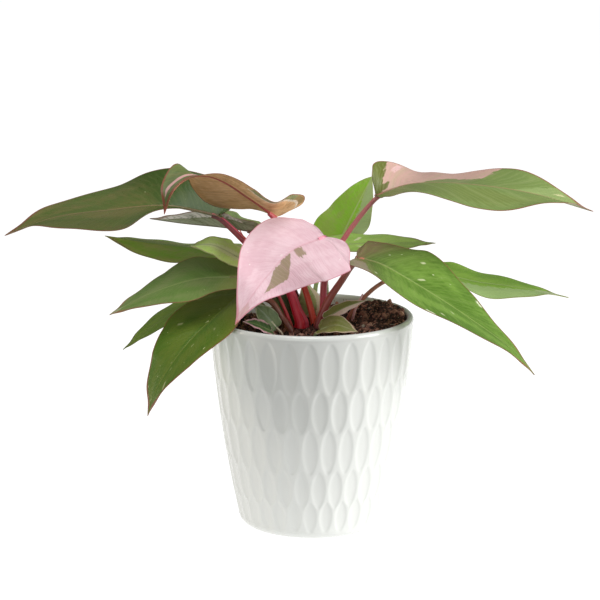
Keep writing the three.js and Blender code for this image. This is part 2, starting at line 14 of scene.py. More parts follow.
import bpy
import numpy as np
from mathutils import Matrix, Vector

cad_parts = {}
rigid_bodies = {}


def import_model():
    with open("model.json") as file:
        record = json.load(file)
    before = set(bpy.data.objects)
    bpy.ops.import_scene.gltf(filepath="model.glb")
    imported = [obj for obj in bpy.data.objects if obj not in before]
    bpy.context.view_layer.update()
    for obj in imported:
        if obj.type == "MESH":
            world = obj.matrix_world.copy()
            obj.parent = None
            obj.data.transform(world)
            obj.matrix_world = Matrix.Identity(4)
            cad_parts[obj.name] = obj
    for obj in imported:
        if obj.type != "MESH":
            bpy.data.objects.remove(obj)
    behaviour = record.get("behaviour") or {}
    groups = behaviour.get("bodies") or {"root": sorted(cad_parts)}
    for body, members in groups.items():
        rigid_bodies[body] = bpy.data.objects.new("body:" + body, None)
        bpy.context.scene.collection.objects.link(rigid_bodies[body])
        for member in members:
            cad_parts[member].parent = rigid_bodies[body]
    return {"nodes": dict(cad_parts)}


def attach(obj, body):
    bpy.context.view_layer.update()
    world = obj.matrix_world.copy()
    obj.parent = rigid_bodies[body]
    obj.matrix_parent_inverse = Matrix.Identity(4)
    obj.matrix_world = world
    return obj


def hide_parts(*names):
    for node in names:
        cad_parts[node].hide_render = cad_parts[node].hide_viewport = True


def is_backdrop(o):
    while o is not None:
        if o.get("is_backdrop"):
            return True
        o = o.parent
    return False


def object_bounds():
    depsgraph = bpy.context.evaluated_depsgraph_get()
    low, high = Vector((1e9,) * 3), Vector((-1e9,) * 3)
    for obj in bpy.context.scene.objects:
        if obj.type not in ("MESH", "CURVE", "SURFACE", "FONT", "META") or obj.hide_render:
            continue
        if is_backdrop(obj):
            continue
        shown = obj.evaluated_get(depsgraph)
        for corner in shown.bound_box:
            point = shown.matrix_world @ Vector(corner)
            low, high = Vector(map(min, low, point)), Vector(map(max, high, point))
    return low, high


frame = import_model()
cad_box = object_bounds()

MM = 0.001
print("nodes:", len(frame["nodes"]))
print("box:", [[round(float(c), 3) for c in corner] for corner in cad_box])

# %% [markdown]
# ## Node trees written as arithmetic
#
# Materials and Geometry Nodes are both graphs of nodes. Long chains of Math nodes are hard to read
# as calls, so one small class wraps a socket and lets Python's operators add the nodes. Everything
# else comes from one method, `add`, which takes a node's type, its settings and its inputs; what is
# needed again and again, such as noise, has a short name of its own that calls it.

# %% A graph and its sockets
class Graph:
    """A node tree that is built by expressions."""

    def __init__(self, tree):
        self.tree = tree

    def add(self, kind, settings=None, inputs=None, out=0):
        node = self.tree.nodes.new(kind)
        for key, value in (settings or {}).items():
            if key == "stops":
                fill_ramp(node.color_ramp, value)
            else:
                setattr(node, key, value)
        for key, value in (inputs or {}).items():
            self.feed(node.inputs[key], value)
        return Socket(self, node.outputs[out]) if node.outputs else node

    def feed(self, socket, value):
        if isinstance(value, Socket):
            self.tree.links.new(value.end, socket)
        else:
            socket.default_value = value

    def mix(self, a, b, share):
        """A colour between a and b."""
        inputs = {0: share, 6: a, 7: b}
        return self.add("ShaderNodeMix", {"data_type": "RGBA"}, inputs, out=2)

    def vector(self, x, y, z):
        return self.add("ShaderNodeCombineXYZ", None, {0: x, 1: y, 2: z})

    def noise(self, place, scale, detail=2.0, roughness=0.5):
        inputs = {"Vector": place, "Scale": scale, "Detail": detail, "Roughness": roughness}
        return self.add("ShaderNodeTexNoise", None, inputs)

    def split(self, vector):
        """The x, y and z of a vector."""
        parts = self.add("ShaderNodeSeparateXYZ", None, {0: vector})
        return [parts.other(axis) for axis in "XYZ"]

    def scaled(self, vector, factor):
        inputs = {0: vector, "Scale": factor}
        return self.add("ShaderNodeVectorMath", {"operation": "SCALE"}, inputs)

    def attribute(self, name):
        """A number that a mesh keeps under a name, read by a material."""
        return self.add("ShaderNodeAttribute", {"attribute_name": name}, out="Fac")

    def number(self, name):
        """The same, read by a Geometry Nodes tree."""
        return self.add("GeometryNodeInputNamedAttribute", {"data_type": "FLOAT"}, {"Name": name})

    def stored(self, geometry, name, value, domain="POINT"):
        """A geometry that keeps a number under a name."""
        settings = {"data_type": "FLOAT", "domain": domain}
        inputs = {"Geometry": geometry, "Name": name, "Value": value}
        return self.add("GeometryNodeStoreNamedAttribute", settings, inputs)

    def position(self):
        return self.add("GeometryNodeInputPosition")

    def moved(self, geometry, **change):
        """A geometry whose points get an Offset or a new Position."""
        return self.add("GeometryNodeSetPosition", None, {"Geometry": geometry, **change})


class Socket:
    """An output that can be used in Python arithmetic."""

    def __init__(self, graph, end):
        self.graph = graph
        self.end = end

    def other(self, name):
        """Another output of the same node."""
        return Socket(self.graph, self.end.node.outputs[name])

    def math(self, operation, *values):
        inputs = dict(enumerate(values))
        return self.graph.add("ShaderNodeMath", {"operation": operation}, inputs)

    def __add__(self, value):
        return self.math("ADD", self, value)

    __radd__ = __add__

    def __sub__(self, value):
        return self.math("SUBTRACT", self, value)

    def __rsub__(self, value):
        return self.math("SUBTRACT", value, self)

    def __mul__(self, value):
        return self.math("MULTIPLY", self, value)

    __rmul__ = __mul__

    def __truediv__(self, value):
        return self.math("DIVIDE", self, value)

    def __rtruediv__(self, value):
        return self.math("DIVIDE", value, self)

    def __pow__(self, value):
        return self.math("POWER", self, value)

    def __abs__(self):
        return self.math("ABSOLUTE", self)

    def at_least(self, value):
        return self.math("MAXIMUM", self, value)

    def at_most(self, value):
        return self.math("MINIMUM", self, value)

    def fraction(self):
        return self.math("FRACT", self)

    def step(self, low, high):
        """0 below low, 1 above high and smooth between them; high may be the smaller one."""
        rising = high > low
        inputs = {"Value": self, "From Min": min(low, high), "From Max": max(low, high)}
        inputs.update({"To Min": 0.0 if rising else 1.0, "To Max": 1.0 if rising else 0.0})
        return self.graph.add("ShaderNodeMapRange", {"interpolation_type": "SMOOTHSTEP"}, inputs)


def fill_ramp(ramp, stops):
    """Gives a colour ramp its stops: pairs of a place and a colour."""
    while len(ramp.elements) < len(stops):
        ramp.elements.new(1.0)
    for element, (place, colour) in zip(ramp.elements, stops):
        element.position = place
        element.color = colour


def colour(code):
    """A screen colour such as "a0b060" as the linear colour that shaders use."""
    parts = [int(code[i:i + 2], 16) / 255 for i in (0, 2, 4)]
    linear = [c / 12.92 if c <= 0.04045 else ((c + 0.055) / 1.055) ** 2.4 for c in parts]
    return (*linear, 1.0)


# %% [markdown]
# ## Materials and pieces
#
# Each material starts from a Principled shader. Values that are the same everywhere are set on the
# shader itself; only what changes over a surface is linked. A finished piece sits at the origin, as
# the model's own nodes do, and hides the node it stands for.

# %% Starting a material and finishing a piece
def new_material(name, **constants):
    """A material with its graph and its Principled shader."""
    material = bpy.data.materials.new(name)
    material.use_nodes = True
    graph = Graph(material.node_tree)
    shader = material.node_tree.nodes["Principled BSDF"]
    for key, value in constants.items():
        shader.inputs[key.replace("_", " ")].default_value = value
    return material, graph, shader


def set_bump(graph, shader, height, distance, strength=1.0):
    """Links a height, in shares of a distance in metres, to the shader's normal."""
    inputs = {"Height": height, "Distance": distance, "Strength": strength}
    graph.feed(shader.inputs["Normal"], graph.add("ShaderNodeBump", None, inputs))


def new_piece(name, mesh):
    piece = bpy.data.objects.new(name, mesh)
    bpy.context.scene.collection.objects.link(piece)
    return piece


def finish_piece(piece, node):
    """Rides on the plant's one body and takes the place of the model's plainer node."""
    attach(piece, "root")
    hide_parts(node)
    triangles = sum(len(face.vertices) - 2 for face in piece.data.polygons)
    print(f"{piece.name}: {triangles} triangles")
    return triangles


# %% Running a Geometry Nodes tree
def new_tree(name, sockets):
    """A Geometry Nodes tree with named inputs, given as pairs of a type and a starting value."""
    tree = bpy.data.node_groups.new(name, "GeometryNodeTree")
    tree.interface.new_socket("Geometry", in_out="INPUT", socket_type="NodeSocketGeometry")
    for label, (kind, value) in sockets.items():
        socket = tree.interface.new_socket(label, in_out="INPUT", socket_type="NodeSocket" + kind)
        if value is not None:
            socket.default_value = value
    tree.interface.new_socket("Geometry", in_out="OUTPUT", socket_type="NodeSocketGeometry")
    graph = Graph(tree)
    inlet = graph.add("NodeGroupInput")
    return tree, graph, inlet


def close_tree(graph, geometry, material):
    """Ends a tree: smooth shading, real geometry instead of instances, and a material."""
    smooth = graph.add("GeometryNodeSetShadeSmooth", None, {"Geometry": geometry})
    real = graph.add("GeometryNodeRealizeInstances", None, {"Geometry": smooth})
    inputs = {"Geometry": real, "Material": material}
    last = graph.add("GeometryNodeSetMaterial", None, inputs)
    graph.add("NodeGroupOutput", None, {0: last})


def run_tree(piece, tree, **values):
    """Runs a tree on a piece and returns the result as a plain mesh piece of the same name."""
    modifier = piece.modifiers.new(tree.name, "NODES")
    modifier.node_group = tree
    for item in tree.interface.items_tree:
        key = item.name.lower().replace(" ", "_")
        if item.in_out == "INPUT" and key in values:
            modifier[item.identifier] = values[key]
    depsgraph = bpy.context.evaluated_depsgraph_get()
    made = piece.evaluated_get(depsgraph)
    mesh = bpy.data.meshes.new_from_object(made, preserve_all_data_layers=True, depsgraph=depsgraph)
    name = piece.name
    bpy.data.objects.remove(piece)
    return new_piece(name, mesh)


# %% [markdown]
# ## The pot's smooth body
#
# A potter would turn this pot on a wheel, so its mesh starts as rings round the axis: the base, a
# rounded corner, the wall, a rounded lip, and the inside down to the floor. The wall leans in as a
# straight line plus a bow. Rings close at one point below and one above, which keeps the poles shut.

# %% Rings and the pot's profile
POT_HEIGHT = 146
RIM_RADIUS = 70
WALL_TAPER = 9
WALL_BOW = 12
WALL = 5
FLOOR = 6
BASE_RADIUS = 44
CORNER_HEIGHT = 7
LIP_HEIGHT = 3
LIP_EASE = 0.6
SCALLOPS_AROUND = 31
SCALLOP_TOP = 141
COLUMNS = SCALLOPS_AROUND * 16
CORNER_STEPS, WALL_STEPS, LIP_STEPS, INSIDE_STEPS = 8, 135, 12, 11


def wall_radius(z):
    below = (POT_HEIGHT - z) / POT_HEIGHT
    return RIM_RADIUS - WALL_TAPER * below - WALL_BOW * below * below


def skin_over_rings(name, bottom, rings, top):
    """A closed mesh over rings of equal length, from a point below to a point above."""
    count = len(rings[0])
    points = np.vstack([[bottom], *rings, [top]]) * MM
    faces = []
    last = len(points) - 1
    for i in range(count):
        after = (i + 1) % count
        faces.append((0, 1 + after, 1 + i))
        for ring in range(len(rings) - 1):
            low, high = 1 + ring * count, 1 + (ring + 1) * count
            faces.append((low + i, low + after, high + after, high + i))
        faces.append((last, last - count + i, last - count + after))
    mesh = bpy.data.meshes.new(name)
    mesh.from_pydata(points.tolist(), [], faces)
    mesh.update()
    return mesh


def round_ring(radius, z, count):
    turn = np.arange(count) / count * 2 * math.pi
    return np.column_stack([radius * np.cos(turn), radius * np.sin(turn), np.full(count, z)])


def pot_profile():
    """Radius, height and whether the point is on the outer wall, from the base round to the floor."""
    profile = []
    reach = wall_radius(CORNER_HEIGHT) - BASE_RADIUS
    for angle in np.linspace(0, math.pi / 2, CORNER_STEPS + 1)[:-1]:
        radius = BASE_RADIUS + reach * math.sin(angle)
        profile.append((radius, CORNER_HEIGHT * (1 - math.cos(angle)), 1))
    for z in np.linspace(CORNER_HEIGHT, SCALLOP_TOP, WALL_STEPS + 1):
        profile.append((wall_radius(z), z, 1))
    for z in (SCALLOP_TOP + LIP_EASE, SCALLOP_TOP + 2 * LIP_EASE):
        profile.append((wall_radius(z), z, 0))
    middle = RIM_RADIUS - WALL / 2
    for angle in np.linspace(0, math.pi, LIP_STEPS + 1):
        height = POT_HEIGHT - LIP_HEIGHT * (1 - math.sin(angle))
        profile.append((middle + WALL / 2 * math.cos(angle), height, 0))
    for z in np.linspace(POT_HEIGHT - LIP_HEIGHT, FLOOR, INSIDE_STEPS + 1)[1:]:
        profile.append((wall_radius(z) - WALL, z, 0))
    return profile


profile = pot_profile()
pot_rings = [round_ring(radius, z, COLUMNS) for radius, z, _ in profile]
pot_mesh = skin_over_rings("glazed_pot", (0, 0, 0), pot_rings, (0, 0, FLOOR))
on_wall = pot_mesh.attributes.new("on_wall", "FLOAT", "POINT")
wall_flags = np.repeat([flag for _, _, flag in profile], COLUMNS)
on_wall.data.foreach_set("value", np.concatenate([[0], wall_flags, [0]]).astype(np.float32))
print("pot body:", len(pot_mesh.vertices), "points")

# %% [markdown]
# ## The glaze
#
# The glaze is a glossy white with the least drift of warmth over it. Its gloss comes from a low
# roughness and a clear coat; a very fine bump keeps the reflections from looking machined.

# %% Glaze material
GLAZE_LIGHT, GLAZE_DARK = colour("dadcd8"), colour("d3d5d1")
GLAZE_ROUGHNESS, GLAZE_SMEAR = 0.14, 0.12
GLAZE_RIPPLE = 0.00012
CLOUDS_PER_METRE, SMEARS_PER_METRE, RIPPLES_PER_METRE = 18.0, 90.0, 260.0

glaze, graph, shader = new_material("white_glaze", Coat_Weight=0.35, Coat_Roughness=0.05)
place = graph.add("ShaderNodeTexCoord", out="Object")
cloud = graph.noise(place, CLOUDS_PER_METRE)
graph.feed(shader.inputs["Base Color"], graph.mix(GLAZE_LIGHT, GLAZE_DARK, cloud))
smear = graph.noise(place, SMEARS_PER_METRE, 3.0)
graph.feed(shader.inputs["Roughness"], smear * GLAZE_SMEAR + GLAZE_ROUGHNESS)
set_bump(graph, shader, graph.noise(place, RIPPLES_PER_METRE), GLAZE_RIPPLE, 0.35)
print("glaze:", len(glaze.node_tree.nodes), "nodes")

# %% [markdown]
# ## The scallops
#
# The wall is covered by ovals in rows, each row shifted by half a scallop against the next. They
# have a flat bottom, a crisp edge and blunt points. They could be cut by hundreds of booleans, but
# a rule is cleaner: in each row a point's distance from the nearest scallop's middle line says how
# deep the wall is pressed in there. The tree keeps the deepest of the rows and moves the wall's
# points towards the axis. The scallops are counted in turns round the pot from its front.

# %% Geometry Nodes: press the scallops into the wall
SCALLOP_ROWS = [(105, 141), (77.5, 108), (48, 80), (23.5, 50), (5, 27.5)]
SCALLOP_DEPTH = 0.85
SCALLOP_POINT = 0.6
SCALLOP_SHARE = 0.86
SCALLOP_TURN = -1.2 / 360
SCALLOP_SIDE = 2.8
SCALLOP_END = 0.4
FRONT_TURN = 0.25

scallop_tree, graph, inlet = new_tree("Scallops", {
    "Count": ("Float", float(SCALLOPS_AROUND)),
    "Depth": ("Float", SCALLOP_DEPTH * MM),
    "Share": ("Float", SCALLOP_SHARE),
    "Point": ("Float", SCALLOP_POINT),
    "Turn": ("Float", SCALLOP_TURN),
})
x, y, z = graph.split(graph.position())
turns = x.math("ARCTAN2", y, x) / (2 * math.pi) + FRONT_TURN - inlet.other("Turn")
deepest = turns * 0.0
for row, (low, high) in enumerate(SCALLOP_ROWS):
    along = (z * 2 - (low + high) * MM) / ((high - low) * MM)
    fall = (1 - along * along).at_least(0.0001)
    shifted = turns * inlet.other("Count") + (row % 2) / 2 + SCALLOPS_AROUND
    half_width = fall ** inlet.other("Point") * inlet.other("Share")
    across = abs((shifted + 0.5).fraction() - 0.5) * 2 / half_width
    bowl = (1 - across**SCALLOP_SIDE).at_least(0.0)
    deepest = deepest.at_least(bowl * fall**SCALLOP_END)
inward = deepest * inlet.other("Depth") * graph.number("on_wall") * -1
distance = (x * x + y * y) ** 0.5 + 0.000001
offset = graph.vector(x / distance * inward, y / distance * inward, 0.0)
close_tree(graph, graph.moved(inlet, Offset=offset), glaze)

pot = run_tree(new_piece("glazed_pot", pot_mesh), scallop_tree)
total = finish_piece(pot, "pot")
print("scallops:", SCALLOPS_AROUND * len(SCALLOP_ROWS))

# %% [markdown]
# ## Curves and the shape of a leaf
#
# A leaf grows along its midrib, so its table holds the midrib's points and everything else is
# measured against them. `roll` turns the blade about the midrib. Each half has an outline, a width,
# the reach of its back lobe and a `lift`, which folds it up or down. A point of a half has two
# shares: `s` runs along the outline from the notch to the tip, and `r` runs out from the midrib to
# the edge. A line of constant `s` follows a side vein, which fans out from the petiole near the
# base and sweeps forward further on. Veins, ripples and markings are all written in these shares.

# %% Curves through points
def spline(points, t):
    """Catmull-Rom through one or more evenly timed values or points, read at times t from 0 to 1."""
    points = np.atleast_1d(np.asarray(points, float))
    if points.ndim == 1:
        points = points[:, None]
    last = len(points) - 1
    place = np.clip(t, 0, 1) * last
    k = np.minimum(place.astype(int), last)
    w = (place - k)[..., None]
    p0, p1 = points[np.maximum(k - 1, 0)], points[k]
    p2, p3 = points[np.minimum(k + 1, last)], points[np.minimum(k + 2, last)]
    v0, v1 = (p2 - p0) / 2, (p3 - p1) / 2
    return (2 * p1 - 2 * p2 + v0 + v1) * w**3 + (3 * p2 - 3 * p1 - 2 * v0 - v1) * w**2 + v0 * w + p1


PATH_SAMPLES = 401
TINY_STEP = 1e-4


class Path:
    """A centripetal Catmull-Rom curve through points, read by the share u of its length."""

    def __init__(self, points):
        points = np.asarray(points, float)
        before, after = 2 * points[0] - points[1], 2 * points[-1] - points[-2]
        self.points = np.vstack([before, points, after])
        self.times = np.linspace(0, 1, PATH_SAMPLES)
        steps = np.linalg.norm(np.diff(self.read(self.times), axis=0), axis=1)
        self.length = steps.sum()
        self.shares = np.concatenate([[0], np.cumsum(steps)]) / self.length

    def read(self, t):
        last = len(self.points) - 3
        place = np.clip(t, 0, 1) * last
        k = np.minimum(np.asarray(place).astype(int), last - 1)
        w = (place - k)[..., None]
        p = [self.points[k + i] for i in range(4)]
        d = [np.linalg.norm(p[i + 1] - p[i], axis=-1)[..., None] ** 0.5 for i in range(3)]
        m1, m2 = ((p[i] - p[i - 1]) / d[i - 1] - (p[i + 1] - p[i - 1]) / (d[i - 1] + d[i])
                  + (p[i + 1] - p[i]) / d[i] for i in (1, 2))
        m1, m2 = m1 * d[1], m2 * d[1]
        cubic = (2 * p[1] - 2 * p[2] + m1 + m2) * w**3
        return p[1] + m1 * w + (3 * p[2] - 3 * p[1] - 2 * m1 - m2) * w**2 + cubic

    def at(self, u):
        return self.read(np.interp(u, self.shares, self.times))

    def tangent(self, u):
        t = np.interp(u, self.shares, self.times)
        ahead, behind = np.minimum(t + TINY_STEP, 1), np.maximum(t - TINY_STEP, 0)
        return unit(self.read(ahead) - self.read(behind))


def unit(vectors):
    return vectors / np.linalg.norm(vectors, axis=-1, keepdims=True)


# %% Outlines: pairs of a share along the midrib and a share of the half's width
LANCE_TIP = [(0.27, 1), (0.52, 0.92), (0.76, 0.55), (0.92, 0.16), (1, 0)]
SLIM_TIP = [(0.27, 1), (0.5, 0.86), (0.73, 0.44), (0.91, 0.12), (1, 0)]
OUTLINES = {
    "heart": [(0, 0), (-0.8, 0.2), (-1, 0.52), (-0.15, 0.84), (0.2, 1), (0.45, 0.86), (0.72, 0.5),
              (0.9, 0.15), (1, 0)],
    "broad": [(0, 0), (-0.9, 0.22), (-0.97, 0.5), (-0.28, 0.81), (0.12, 1.02), (0.36, 0.88),
              (0.6, 0.47), (0.82, 0.15), (1, 0)],
    "spade": [(0, 0), (-0.9, 0.22), (-0.97, 0.5), (-0.28, 0.81), (0.15, 1), (0.42, 0.76),
              (0.63, 0.56), (0.86, 0.31), (1, 0)],
    "oval": [(0, 0), (-0.8, 0.15), (-1, 0.35), (0.03, 0.62), (0.26, 0.96), (0.48, 0.96),
             (0.74, 0.6), (0.91, 0.2), (1, 0)],
    "lance": [(0, 0), (-0.8, 0.2), (-1, 0.5), (0.04, 0.8), *LANCE_TIP],
    "shoulder": [(0, 0), (0.004, 0.24), (0.02, 0.48), (0.08, 0.72), *LANCE_TIP],
    "slim": [(0, 0), (0.004, 0.24), (0.03, 0.46), (0.1, 0.72), *SLIM_TIP],
    "drop": [(0, 0), (-0.8, 0.15), (-1, 0.35), (0.03, 0.62), *SLIM_TIP],
    "taper": [(0, 0), (0.03, 0.1), (0.08, 0.28), (0.16, 0.6), (0.3, 0.95), (0.52, 1),
              (0.74, 0.62), (0.91, 0.18), (1, 0)],
    "hood": [(0, 0), (-0.5, 0.3), (-1, 0.8), (-0.7, 1), (0.04, 0.82), (0.3, 0.75), (0.62, 0.54),
             (0.85, 0.28), (1, 0)],
}
print("outlines:", ", ".join(OUTLINES))

# %% [markdown]
# ## The leaves
#
# An entry holds, in this order, the slots of the blade and the petiole, the petiole's radii at its
# foot and its tip, the wave of the margin as (height, number, phase), the roll in degrees, the
# midrib from base to tip, the left and the right half, and the petiole's points from the soil up. A
# half is (outline, width, lobe reach, lift in degrees). A roll or a lift is one angle or a list of
# angles from base to tip. Leaves that point left in front view show their left half nearest the
# viewer.

# %% The table of leaves
Leaf = namedtuple("Leaf", "slots radii wave roll midrib left right stalk")
LEAVES = {
    "far_left": Leaf(
        ("olive", "maroon"), (4.7, 2), (1, 3, 0), [20, 18, 15, 15, 15],
        [(-63, 8, 213), (-99, 12, 219), (-138, 18, 215), (-177, 22, 209), (-212, 25, 196)],
        ("lance", 34, 4, [30, 29, 21, 4, 0, 0, 3, 18, 28]),
        ("lance", 34, 8, [30, 30, 22, 18, 8, 4, 6, 18, 24]),
        [(-6.5, -6, 138.4), (-6.5, -6, 141), (-10, -4, 150), (-15, -3, 163), (-31, 0, 182),
         (-47, 6, 197)]),
    "left_back": Leaf(
        ("sage", "maroon"), (2.2, 1.5), (0.6, 2, 0), -13,
        [(-39, 18, 200), (-60, 22, 202.5), (-88, 26, 204.5), (-112, 30, 207)],
        ("lance", 16, 6, 33), ("oval", 22, 6, [36, 24]),
        [(-4, 10, 124), (-5, 10, 138), (-15, 14, 168), (-28, 17, 190)]),
    "twisted": Leaf(
        ("bronze", "crimson"), (3.4, 1.8), (0.5, 2, 1), [-24, -20, -22, -25, 15, 45, 50],
        [(-25, 2, 213), (-32, 0, 219), (-45, -6, 229.5), (-58, -14, 239.5), (-70, -21, 245),
         (-82, -27, 244.5), (-92, -33, 237), (-98, -38, 222)],
        ("hood", 24, 9, [60, 6, -8, -10, -11, -8, 12, 36, 70, 80, 80]),
        ("taper", 25, 1, [12, 4, -14, -18, -14, -6, -13, 5, -10, 10, 0]),
        [(2, 3, 124), (1.5, 3, 138), (-5, 6, 163), (-15, 6, 190)]),
    "pink": Leaf(
        ("pink", "crimson"), (2.8, 1.8), (0.8, 2, 0), 38,
        [(9, -12, 202), (-14, -22, 194), (-30, -33, 179), (-39, -43, 169), (-51, -52, 150)],
        ("broad", 36, 9, [6, 2]), ("slim", 30, 1, [0, 3, 5]),
        [(9, 7, 124), (8, 6, 138), (8, 4, 166), (10, 2, 188)]),
    "far_right": Leaf(
        ("green", "rose"), (3.6, 1.7), (0.8, 3, 2), [-20, 0, -8, -18, -16, -10],
        [(44, 6, 227), (65, 9, 234), (88, 12, 235), (124, 19, 231), (157, 25, 224), (195, 30, 212)],
        ("shoulder", 34, 1, [62, 27, 9, 2, -6, -4, 3, 14, 19, 17, 0]),
        ("shoulder", 34, 1, [22, -2, -12, -3, 17, 35]),
        [(8, -2, 124), (7.5, -2, 138), (8, -3, 158), (8.5, -3, 168), (11.5, -1, 180), (18, 2, 192),
         (32, 5, 212)]),
    "upright": Leaf(
        ("green", "sage"), (2.3, 1.2), (1.5, 3, 0), -45,
        [(19, 58, 183), (29, 60, 204), (43, 64, 231)],
        ("spade", 25, 4, 0), ("oval", 15, 1, 0),
        [(3, 17, 124), (3, 18, 138), (3, 32, 158), (8.5, 46.5, 169.5)]),
    "right_back": Leaf(
        ("green", "sage"), (2.2, 1.5), (1, 3, 0), -10,
        [(10, 26, 188), (37, 32, 189), (61, 38, 188), (87, 44, 187)],
        ("lance", 17, 5, [6, 4]), ("lance", 17, 5, 0),
        [(12, 15, 124), (12, 16, 138), (10, 22, 165)]),
    "front_right": Leaf(
        ("green", "maroon"), (4.2, 2.2), (1, 3, 0), [-16, -14, -8, -4, 0],
        [(31, -4, 186), (46, -10, 183), (65, -18, 174), (102, -36, 153.5), (134, -50, 132),
         (148, -56, 117)],
        ("drop", 32, 3, [10, 13, 5, 0, 0]), ("lance", 32, 1, [16, 14, 10, 7, 6]),
        [(3.5, -10, 124), (3.5, -10, 138), (11, -9, 157), (19, -7, 169)]),
    "right": Leaf(
        ("green", "rose"), (2, 1.5), (1, 3, 0), -5,
        [(75, 22, 174), (114, 27, 163), (145, 31, 158), (180, 35, 150)],
        ("lance", 23, 5, [0, 10, 5, 0, 0]), ("lance", 23, 5, [0, -2, -9, -5, 22]),
        [(23, 2, 124), (24, 2, 138), (30, 5, 149), (47, 12, 164)]),
    "left_rear": Leaf(
        ("green", "sage"), (2.2, 1.5), (1, 3, 0), 7,
        [(-53, 32, 186), (-84, 38, 185), (-113, 44, 187), (-145, 50, 191)],
        ("lance", 20, 5, [-10, -10, -15, -27, -35]), ("lance", 20, 5, [-10, -8, -8, -10, -10]),
        [(-11, 8, 124), (-11, 9, 138), (-23, 18, 165), (-38, 27, 182)]),
    "small_left": Leaf(
        ("green", "sage"), (1.7, 1.2), (0.5, 2, 0), 25,
        [(-49, 4, 184), (-68, 0, 194), (-83, -4, 194)],
        ("lance", 15, 4, 0), ("lance", 12, 4, [25, 0, -15]),
        [(-17, 5, 124), (-17, 5, 138), (-28, 6, 158), (-40, 6, 175)]),
    "left": Leaf(
        ("green", "maroon"), (2.5, 1.6), (0.8, 3, 0), 14,
        [(-51, -6, 173), (-76, -12, 173), (-93, -18, 170), (-114, -24, 163), (-136, -30, 152)],
        ("lance", 24, 5, [0, 0, -3, 0, 0]), ("lance", 24, 5, [14, 12, -3, -12, -5]),
        [(-16, -2, 124), (-17, -2, 138), (-27, -3, 155), (-39, -4, 166)]),
    "low_left": Leaf(
        ("green", "sage"), (1.8, 1.3), (0.8, 3, 0), 8,
        [(-63, 32, 156), (-85, 27, 148), (-107, 22, 135), (-131, 16, 117)],
        ("lance", 16, 4, 0), ("lance", 16, 4, 0),
        [(-23, 4, 124), (-23, 5, 138), (-35, 14, 150), (-50, 25, 154)]),
    "front_left": Leaf(
        ("green", "maroon"), (3.4, 1.8), (0.8, 3, 0), 0,
        [(-45, -9, 166), (-66, -26, 149), (-79, -40, 139), (-92, -51, 125), (-103, -59, 108),
         (-109, -64, 91)],
        ("lance", 27, 2, [0, 5, 3, 14]), ("lance", 28, 3, [2, 12, 10, 0]),
        [(-14, -17, 124), (-14.4, -17, 138), (-21, -15, 148), (-27, -14, 157), (-36, -13, 161)]),
    "young_round": Leaf(
        ("green", "sage"), (1.3, 1), (0.5, 1, 0), -40,
        [(6, -30, 142), (17, -35, 146), (31, -38, 142)],
        ("heart", 10, 2, 0), ("heart", 9, 2, [30, 0]),
        [(2, -27, 126), (2, -27, 137)]),
    "young_rolled": Leaf(
        ("green", "sage"), (1.2, 0.9), (0.5, 1, 0), -20,
        [(10, -17, 147), (23, -16, 154), (37, -16, 159)],
        ("lance", 7, 2, 10), ("lance", 7, 2, 10),
        [(9, -18, 126), (9, -18, 138)]),
    "young_left": Leaf(
        ("deep", "sage"), (1.2, 0.9), (0.5, 1, 0), 20,
        [(-28, -33, 142), (-37, -37, 147), (-46, -41, 150)],
        ("heart", 9, 2, 5), ("heart", 9, 2, 5),
        [(-24, -30, 126), (-24, -30, 136)]),
    "young_upright": Leaf(
        ("deep", "sage"), (1.2, 0.9), (0.5, 1, 0), 60,
        [(-24, -22, 142), (-30, -22, 149), (-39, -21, 158)],
        ("lance", 7, 1, 5), ("lance", 7, 1, 5),
        [(-20, -20, 126), (-20, -20, 136)]),
    "young_middle": Leaf(
        ("sage", "sage"), (1.1, 0.8), (0.3, 1, 0), 0,
        [(-1, 9, 145), (-2, 12, 156), (-5, 15, 167)],
        ("lance", 9, 2, 0), ("lance", 9, 2, 0),
        [(4, 9, 126), (3, 9, 138)]),
    "young_dark": Leaf(
        ("deep", "sage"), (1.1, 0.8), (0.3, 1, 0), 40,
        [(-14, 3, 145), (-19, 2, 154), (-27, 1, 165)],
        ("lance", 8, 2, 0), ("lance", 8, 2, 0),
        [(-12, 4, 126), (-12, 4, 138)]),
}
lengths = {key: round(Path(leaf.midrib).length) for key, leaf in LEAVES.items()}
print("midribs in mm:", lengths)

# %% [markdown]
# ## Blades as solid sheets
#
# A real blade is under half a millimetre thick with a stout rib underneath. The mesh is a grid in
# the shares s and r with its columns closer together near the midrib, where the rib rises. Top and
# bottom are the same sheet moved along its normals. The sheet is quilted a little between its side
# veins and ripples at its margin, as thin leaves do. The shares are kept as a UV map, and the
# distance from the midrib and from the margin in millimetres as attributes, for the materials.

# %% Where a point of a leaf is
FAN_SHARE = 0.36
VEIN_SWEEP = 1.3
LEAST_WIDTH = 2.0


def leaf_frame(leaf, path, u):
    """The midrib's direction, the blade's outward face and its left side, at shares u."""
    along = path.tangent(u)
    level = unit(np.array([0, 0, 1.0]) - along[..., 2:] * along)
    left = np.cross(level, along)
    roll = np.radians(spline(leaf.roll, u))
    face = level * np.cos(roll) + left * np.sin(roll)
    side = left * np.cos(roll) - level * np.sin(roll)
    return along, face, side


